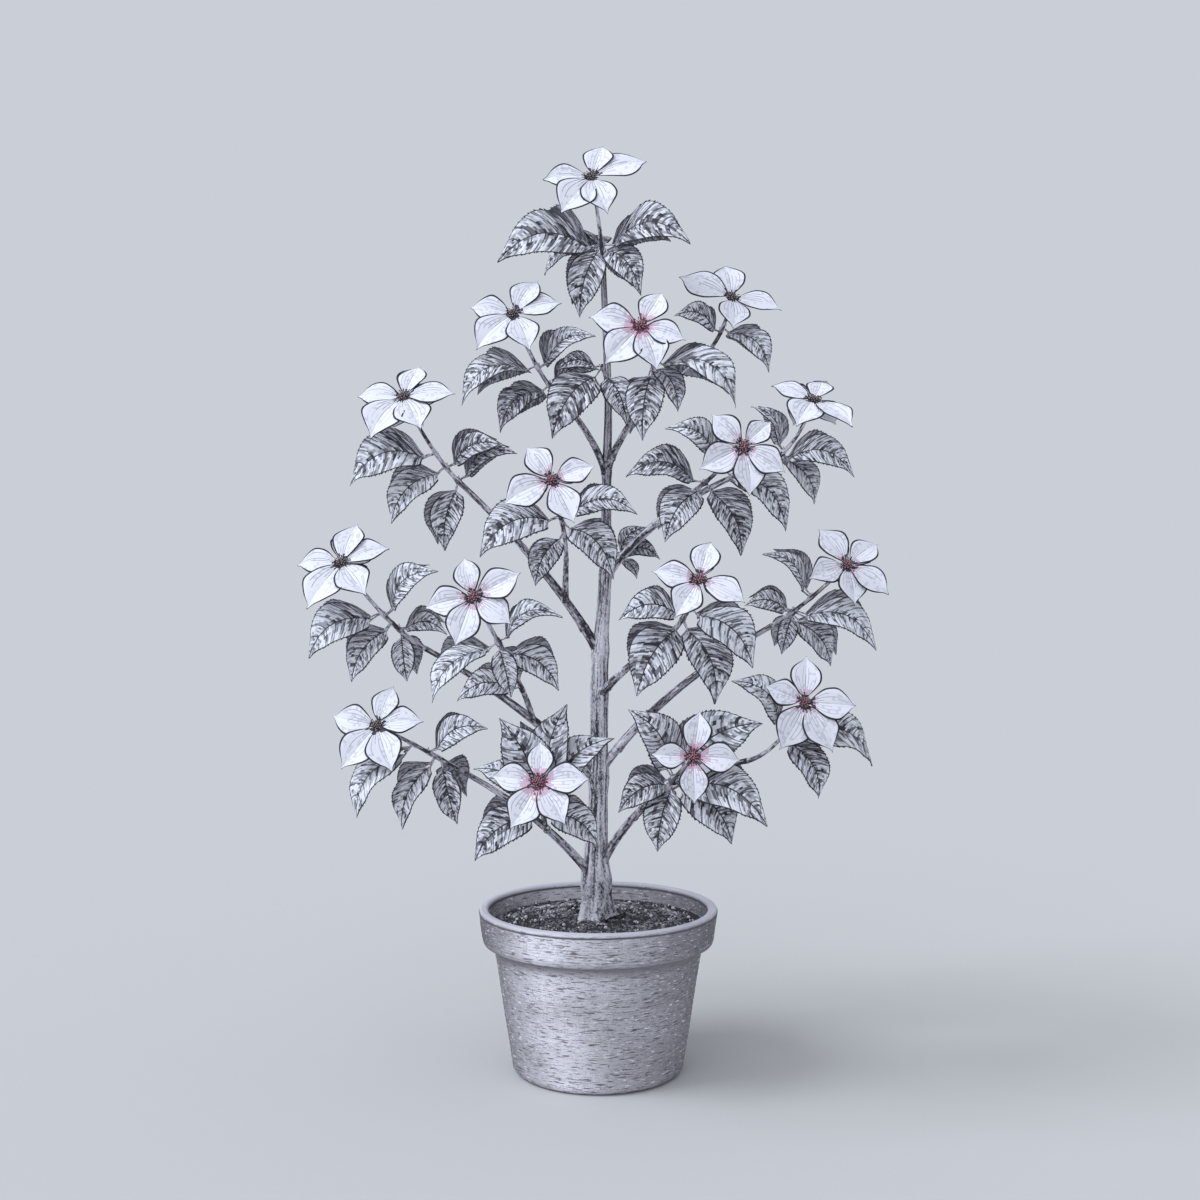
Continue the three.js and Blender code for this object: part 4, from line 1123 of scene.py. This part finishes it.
def add_bract(batch, bract, blush, rng):
    length, half = bract["length"], bract["half_width"] * bract["length"]
    s = np.linspace(FIRST_BRACT_ROW, LAST_BRACT_ROW, BRACT_ROWS)[:, None]
    here = np.maximum(bract_width(s[:, 0]), 0.02) * half
    e, side = net_columns(BRACT_COLUMNS, BRACT_ROWS, margin=np.maximum(1 - EDGE_WIDTH / here, WIDEST_EDGE))
    notch = 1 + 0.02 * np.sin(s * 17 + rng.uniform(0, 6))
    width = bract_width(s) * half * notch
    signed = e * side
    lift = 4 * s * (1 - s) * bract["arch"] * length + e * width * bract["fold"] * 0.6
    lift += signed * width * BRACT_TWIST
    sunk = np.isin(e, [BRACT_COLUMNS[k] for k in BRACT_VEINS])
    lift -= VEIN_SINK * length * sunk * np.sin(np.pi * s)
    ripple = rng.uniform(0.01, 0.03) * length
    phase = 5 * s + rng.uniform(0, 6)
    lift += ripple * np.sin(phase + side * rng.uniform(0, 3)) * e**2
    curl, lean, hook = (rng.uniform(*span) * length for span in BRACT_SPANS)
    lift -= curl * smoothstep(0.72, 1, s)
    sway = lean * np.sin(np.pi * s) + hook * smoothstep(0.85, 1, s) * (1 - s) / 0.1
    net = blade_points(bract, s, signed * width + sway, lift)
    tip = bract["base"] + bract["ahead"] * length - bract["face"] * curl
    cells = (BRACT_ROWS - 1, e.shape[1] - 1)
    tones, back = bract_tones(rng, (s[:-1] + s[1:]) / 2, cells, blush)
    add_blade(batch, net, tip, bract["face"] * BRACT_SKIN / 2, tones, back, EDGE)


def add_bracts(batch, shoot, rng):
    for bract in shoot["bracts"]:
        add_bract(batch, bract, blush_of(shoot["name"]), rng)


def add_florets(batch, shoot, rng):
    """A button of small closed florets in spirals, ringed by fine stamens."""
    right, up, out = bloom_frame(shoot)
    centre = shoot["end"]
    red, rosy = (blush_of(shoot["name"]) > level for level in (DEEP_BLUSH, FAINT_BLUSH))
    body = FLORET_CRIMSON if red else FLORET_BROWN
    tones = [[FLORET_DARK], [body], [FLORET_ROSE if rosy else FLORET_BROWN], [FLORET_TIP]]
    share = np.array([0, 0.2, 0.5, 0.8, 1.0])
    dome = centre + out * (BUTTON_HEIGHT * 0.62 * share[:, None] - 1.5)
    add_tube(batch, dome, BUTTON_RADIUS * 0.78 * np.sqrt(1 - (share * 0.94) ** 2), 14, FLORET_DARK)
    for k in range(FLORETS):
        reach = math.sqrt((k + 0.5) / FLORETS)
        radial = spoke(right, up, k * FLORET_TURN + rng.uniform(-0.1, 0.1))
        way = unit(out * (1.15 - reach * 0.8) + radial * reach)
        root = centre + radial * BUTTON_RADIUS * 0.74 * reach
        root = root + out * BUTTON_HEIGHT * (0.55 - 0.62 * reach**2)
        size = rng.uniform(0.85, 1.15)
        path = root + way * size * np.array([0, 0.7, 1.5, 2.3, 2.9])[:, None]
        radii = np.array([0.55, 1.0, 1.05, 0.7, 0.2]) * size
        add_tube(batch, path, radii, 6, np.repeat(tones, 6, axis=1))
    for k in range(STAMENS):
        radial = spoke(right, up, k * 2 * np.pi / STAMENS + rng.uniform(-0.15, 0.15))
        reach = rng.uniform(3.4, 6.4)
        root = centre + radial * BUTTON_RADIUS * 0.55
        bend = root + radial * reach * 0.5 + out * 3.2
        path = quadratic(root, bend, root + radial * reach + out * 2.2, 7)
        radii = [0.36, 0.33, 0.3, 0.28, 0.27, 0.3, 0.62, 0.4]
        add_tube(batch, path, radii, 5, FLORET_CRIMSON if red and k % 2 else FLORET_DARK)


# ============ pot and soil
POT_SEGMENTS = 200
TOOL_MARK = 0.22
TOOL_PITCH = 3.1
BAND_FOOT = POT_HEIGHT - BAND_HEIGHT
BAND_ROUNDING = 3
CHIP_DEPTH = 3.2
# The last rows of the pot's profile, which lie inside it and bear no tool marks.
INNER_ROWS = 40
CENTRE_RADIUS = 6


def arc(centre_radius, centre_height, radius, start, end, steps):
    a = np.radians(np.linspace(start, end, steps + 1))
    return np.stack([centre_radius + radius * np.cos(a), centre_height + radius * np.sin(a)], -1)


def inner_radius(height):
    share = (height - POT_FLOOR) / (POT_HEIGHT - POT_FLOOR)
    return POT_FOOT_RADIUS - POT_WALL + (BAND_TOP_RADIUS - POT_FOOT_RADIUS) * share


def straight(start, end, steps):
    return np.linspace(start, end, steps + 1)[1:]


def pot_profile():
    """Radius and height from the middle of the foot, up the outside, over the lip and down inside."""
    lip_level = POT_HEIGHT - LIP_ROUNDING
    foot = arc(POT_FOOT_RADIUS - FOOT_ROUNDING, FOOT_ROUNDING, FOOT_ROUNDING, -90, 0, 10)
    under = arc(BAND_LOW_RADIUS - BAND_ROUNDING, BAND_FOOT + BAND_ROUNDING, BAND_ROUNDING, -90, 0, 6)
    lip = arc(BAND_TOP_RADIUS - LIP_ROUNDING, lip_level, LIP_ROUNDING, 0, 90, 8)
    inner = arc(inner_radius(POT_HEIGHT) + LIP_ROUNDING, lip_level, LIP_ROUNDING, 90, 180, 8)
    wall_foot = (inner_radius(POT_FLOOR + 6), POT_FLOOR + 6)
    return np.vstack([
        straight((CENTRE_RADIUS, 0), foot[0], 6), foot[1:],
        straight(foot[-1], (POT_SHOULDER_RADIUS, BAND_FOOT - 2), 60),
        [(POT_SHOULDER_RADIUS + 0.8, BAND_FOOT - 0.6)], under, straight(under[-1], lip[0], 30), lip[1:],
        straight(lip[-1], inner[0], 2), inner[1:], straight(inner[-1], wall_foot, 24),
        straight(wall_foot, (CENTRE_RADIUS, POT_FLOOR), 8),
    ])


def pot_piece():
    """Thrown and turned: faint tooling rings, a hand-made wobble and a few chips along the lip."""
    rng = np.random.default_rng(POT_SEED)
    profile = pot_profile()
    radius, height = profile[:, :1], profile[:, 1:]
    net_size = (len(profile), POT_SEGMENTS)
    turn = turns(POT_SEGMENTS)
    outside = (np.arange(len(profile)) < len(profile) - INNER_ROWS)[:, None] & (height > 4)
    rings = np.sin(height * 2 * np.pi / TOOL_PITCH + 0.6 * np.sin(turn * 2 + 1)) * TOOL_MARK
    rough = streaks(rng, *net_size, 1.2, 7) * 0.16 + streaks(rng, *net_size, 9, 16) * 0.3
    wobble = 0.35 * np.sin(turn * 2 + 0.7) + 0.2 * np.sin(turn * 3 + 2)
    lip = bell(height - POT_HEIGHT, 3.2) * (radius > POT_SHOULDER_RADIUS + 1)
    chips = np.clip(streaks(rng, *net_size, 2.4, 3.5) - 0.62, 0, 1) * CHIP_DEPTH
    radii = radius + outside * (rings + rough + wobble * height / POT_HEIGHT) - lip * chips
    net = ring_points(radii, turn, height - lip * chips * 0.8)
    batch = Batch()
    batch.add(*closed_net(net, (0, 0, 0), (0, 0, POT_FLOOR)), 0)
    return batch.piece("pot_clay", [clay_material()])


def clay_material():
    """Weathered grey clay: fine level streaks, mottling, pale lime bloom and dark specks, with painted
    shade on the right side, on the low left side, round the foot of the band and in a line under the lip,
    and a painted highlight along the lip.
    """
    material = surface("clay", srgb(170, 168, 176), 0.88, 420, 0.0006)
    tree = material.node_tree

    def maths(operation, *values):
        node = tree.nodes.new("ShaderNodeMath")
        node.operation = operation
        return feed(tree, node, dict(enumerate(values))).outputs["Value"]

    place = add_node(tree, "TexCoord", {}).outputs["Object"]
    axes = add_node(tree, "SeparateXYZ", {"Vector": place})
    side, height = axes.outputs["X"], axes.outputs["Z"]
    low_side = maths("MULTIPLY_ADD", height, 0.19, side)
    away_from = lambda level: maths("ABSOLUTE", maths("SUBTRACT", height, level * MM))
    colour = srgb(238, 236, 245)
    # Each layer: its screen colour, what it goes by, and the values of that where it starts and is full.
    layers = {
        "mottling": ((206, 203, 209), noise(tree, 14, (1, 1, 1.6), 4), 0.4, 0.65),
        # Painted shade: the right side of the pot, away from the key lamp, is darkened in its colour.
        "painted shade on the right side": ((128, 125, 131), side, -0.04, 0.11),
        # Painted shade: the left edge of the pot, most of all low down, is darkened in its colour.
        "painted shade on the low left side": ((88, 85, 91), low_side, -0.036, -0.096),
        "dark streaks": ((104, 101, 107), noise(tree, 95, (1, 1, 9), 6), 0.53, 0.65),
        "lime bloom": ((246, 245, 252), noise(tree, 120, (1, 1, 7), 5), 0.59, 0.7),
        "specks": ((60, 57, 62), noise(tree, 620, (1, 1, 3.2), 3), 0.59, 0.69),
        # Painted shade: darker round the foot of the overhanging band, fading over about 11 mm above and
        # below.
        "painted shade under the band": ((134, 131, 137), away_from(BAND_FOOT - 3), 0.011, -0.001),
        # Painted highlight: the top 4 mm of the pot, over the lip, is set to one pale tone, also where the
        # sides below carry painted shade.
        "lip": ((205, 204, 213), height, (POT_HEIGHT - 4) * MM, (POT_HEIGHT - 1) * MM),
        # Painted shade: a thin dark line just under the lip.
        "painted shade line under the lip": ((96, 93, 99), away_from(POT_HEIGHT - 4.5), 0.0018, 0.0003),
    }
    for tint, amount, start, full in layers.values():
        share = add_node(tree, "MapRange", {"Value": amount, "From Min": start, "From Max": full})
        mix = tree.nodes.new("ShaderNodeMix")
        mix.data_type = "RGBA"
        feed(tree, mix, {"Factor": share.outputs["Result"], "A": colour, "B": srgb(*tint)})
        colour = mix.outputs["Result"]
    feed(tree, tree.nodes["Principled BSDF"], {"Base Color": colour})
    return material


SOIL_RINGS, SOIL_SEGMENTS = 76, 156
SOIL_BED_DEPTH = 30
SOIL_SINK = 0.8
SOIL_GAP = 0.3
CRUMBS = 900
SMALL_CRUMB_SHARE = 0.85


def soil_height(radius):
    """The soil's level at a distance from the middle: a low mound round the trunk."""
    marks = [0, SOIL_CROWN_RADIUS, SOIL_CROWN_RADIUS * 2, inner_radius(SOIL_EDGE)]
    return np.interp(radius, marks, [SOIL_TOP, SOIL_TOP, SOIL_EDGE + 2, SOIL_EDGE])


def soil_pieces():
    rng = np.random.default_rng(SOIL_SEED)
    net_size = (SOIL_RINGS, SOIL_SEGMENTS)
    edge = inner_radius(SOIL_EDGE) - SOIL_GAP
    radius = np.linspace(edge, 3, SOIL_RINGS)[:, None]
    turn = turns(SOIL_SEGMENTS)
    clods = streaks(rng, *net_size, 5, 7) * 1.5 + streaks(rng, *net_size, 1.6, 2.2) * 0.9
    calm = smoothstep(0, 6, edge - radius)
    top = ring_points(radius, turn, soil_height(radius) - SOIL_SINK + clods * calm)
    low = ring_points(edge - 4, turn, SOIL_EDGE - SOIL_BED_DEPTH)
    hubs = (0, 0, SOIL_EDGE - SOIL_BED_DEPTH), (0, 0, SOIL_TOP - SOIL_SINK)
    lumps = np.vstack([np.zeros((1, SOIL_SEGMENTS)), clods[:-1]]) + rng.uniform(-1.2, 1.2, net_size)
    tones = np.concatenate([np.digitize(lumps.ravel(), SOIL_STEPS), np.zeros(2 * SOIL_SEGMENTS, int)])
    bed, crumbs = Batch(), Batch()
    bed.add(*closed_net(np.concatenate([low[None], top]), *hubs), tones)
    ball = np.array([0, 0.3, 0.75, 1.0])
    for _ in range(CRUMBS):
        size = rng.uniform(0.7, 1.5) if rng.random() < SMALL_CRUMB_SHARE else rng.uniform(1.5, 2.8)
        reach = math.sqrt(rng.uniform(0.045, 0.95)) * edge
        angle = rng.uniform(0, 2 * np.pi)
        lean = unit(rng.uniform(-1, 1, 3))
        spot = vec(reach * cos(angle), reach * sin(angle), soil_height(reach) + size * 0.25)
        path = spot + lean * size * 1.3 * (ball[:, None] - 0.5)
        radii = size * np.array([0.35, 0.85, 0.8, 0.3])[:, None] * rng.uniform(0.8, 1.15, (4, 6))
        add_tube(crumbs, path, radii, 6, int(rng.choice([0, 1, 1, 2])))
    return bed.piece("soil_bed", SOIL_TONES), crumbs.piece("soil_crumbs", SOIL_TONES)


# ============ the plant's pieces
CROWN_MIDDLE = 560


def dress(piece, slot, *nodes):
    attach(piece, "root")
    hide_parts(*nodes)


def part_group(facing, high):
    """The shoots that face one way and end in the upper or lower half of the crown."""
    return [shoot for shoot in shoots.values()
            if shoot["facing"] == facing and (shoot["end"][2] >= CROWN_MIDDLE) == high]


def blooming(group):
    return [shoot for shoot in group if shoot["bracts"]]


front = [shoot for shoot in shoots.values() if shoot["facing"] == 1]
rear = [shoot for shoot in shoots.values() if shoot["facing"] == -1]
GROUPS = {
    "twigs_front": front,
    "twigs_rear": rear,
    "leaves_front_high": part_group(1, True),
    "leaves_front_low": part_group(1, False),
    "leaves_rear_high": part_group(-1, True),
    "leaves_rear_low": part_group(-1, False),
    "bracts_front": blooming(front),
    "bracts_rear": rear,
    "florets": blooming(shoots.values()),
}
# For each kind of piece: what a shoot adds to it, its seed, its materials and its slot.
KINDS = {
    "twigs": (add_twigs, TWIG_SEED, BARK_TONES, "bark"),
    "leaves": (add_leaves, LEAF_SEED, LEAF_TONES, "foliage"),
    "bracts": (add_bracts, BRACT_SEED, BRACT_TONES, "bract"),
    "florets": (add_florets, FLORET_SEED, FLORET_TONES, "floret"),
}

dress(pot_piece(), "clay", "pot")
soil_bed, soil_crumbs = soil_pieces()
dress(soil_bed, "soil", "soil")
dress(soil_crumbs, "soil", "soil")
dress(trunk_piece(), "bark", "trunk")
dress(bough_piece(), "bark", *[f"bough_{name}" for name in boughs])
for piece_name, group in GROUPS.items():
    add, seed, tones, slot = KINDS[piece_name.split("_")[0]]
    batch, rng = Batch(), np.random.default_rng(seed)
    for shoot in group:
        add(batch, shoot, rng)
    dress(batch.piece(piece_name, tones), slot, *[f"foliage_{shoot['name']}" for shoot in group])

# ============ floor, light and camera
FLOOR_RADIUS = 60
SKY = srgb(202, 207, 215)
SENSOR_WIDTH = 36
# Each lamp: bearing from the viewer's side, elevation, softness and its share of the light on the floor.
LAMPS = {"key": (-72, 46, 30, 0.34), "fill": (-20, 45, 50, 0.12)}
SKY_SHARE = 1 - sum(lamp[3] for lamp in LAMPS.values())


def add_floor():
    """The lamps add to the sky's light, so a floor of this deeper tone looks as bright as the sky."""
    bpy.ops.mesh.primitive_circle_add(vertices=96, radius=FLOOR_RADIUS, fill_type="NGON")
    floor = bpy.context.object
    floor.name = "floor"
    paper = surface("floor_paper", (SKY_SHARE, SKY_SHARE, SKY_SHARE, 1), 0.9, 60, 0.0004)
    paper.node_tree.nodes["Principled BSDF"].inputs["Specular IOR Level"].default_value = 0
    floor.data.materials.append(paper)


def add_light():
    world = bpy.context.scene.world or bpy.data.worlds.new("studio")
    bpy.context.scene.world = world
    world.use_nodes = True
    feed(world.node_tree, world.node_tree.nodes["Background"], {"Color": SKY, "Strength": 1})
    brightness = sum(SKY[:3]) / 3
    for name, (bearing, elevation, softness, share) in LAMPS.items():
        lamp = new_object(name, bpy.data.lights.new(name, "SUN"))
        lamp.data.energy = math.pi * brightness * share / SKY_SHARE / sin(radians(elevation))
        lamp.data.angle = radians(softness)
        lamp.data.color = [part / brightness for part in SKY[:3]]
        lamp.rotation_euler = (radians(90 - elevation), 0, radians(bearing))


def add_camera():
    camera = new_object("camera", bpy.data.cameras.new("camera"))
    camera.data.lens = LENS
    camera.data.sensor_width = SENSOR_WIDTH
    camera.location = (EYE_SIDE * MM, -EYE_DISTANCE * MM, EYE_HEIGHT * MM)
    camera.rotation_euler = (radians(90 - EYE_PITCH), 0, 0)
    bpy.context.scene.camera = camera


add_floor()
add_light()
add_camera()
bpy.context.scene.view_settings.view_transform = "Standard"
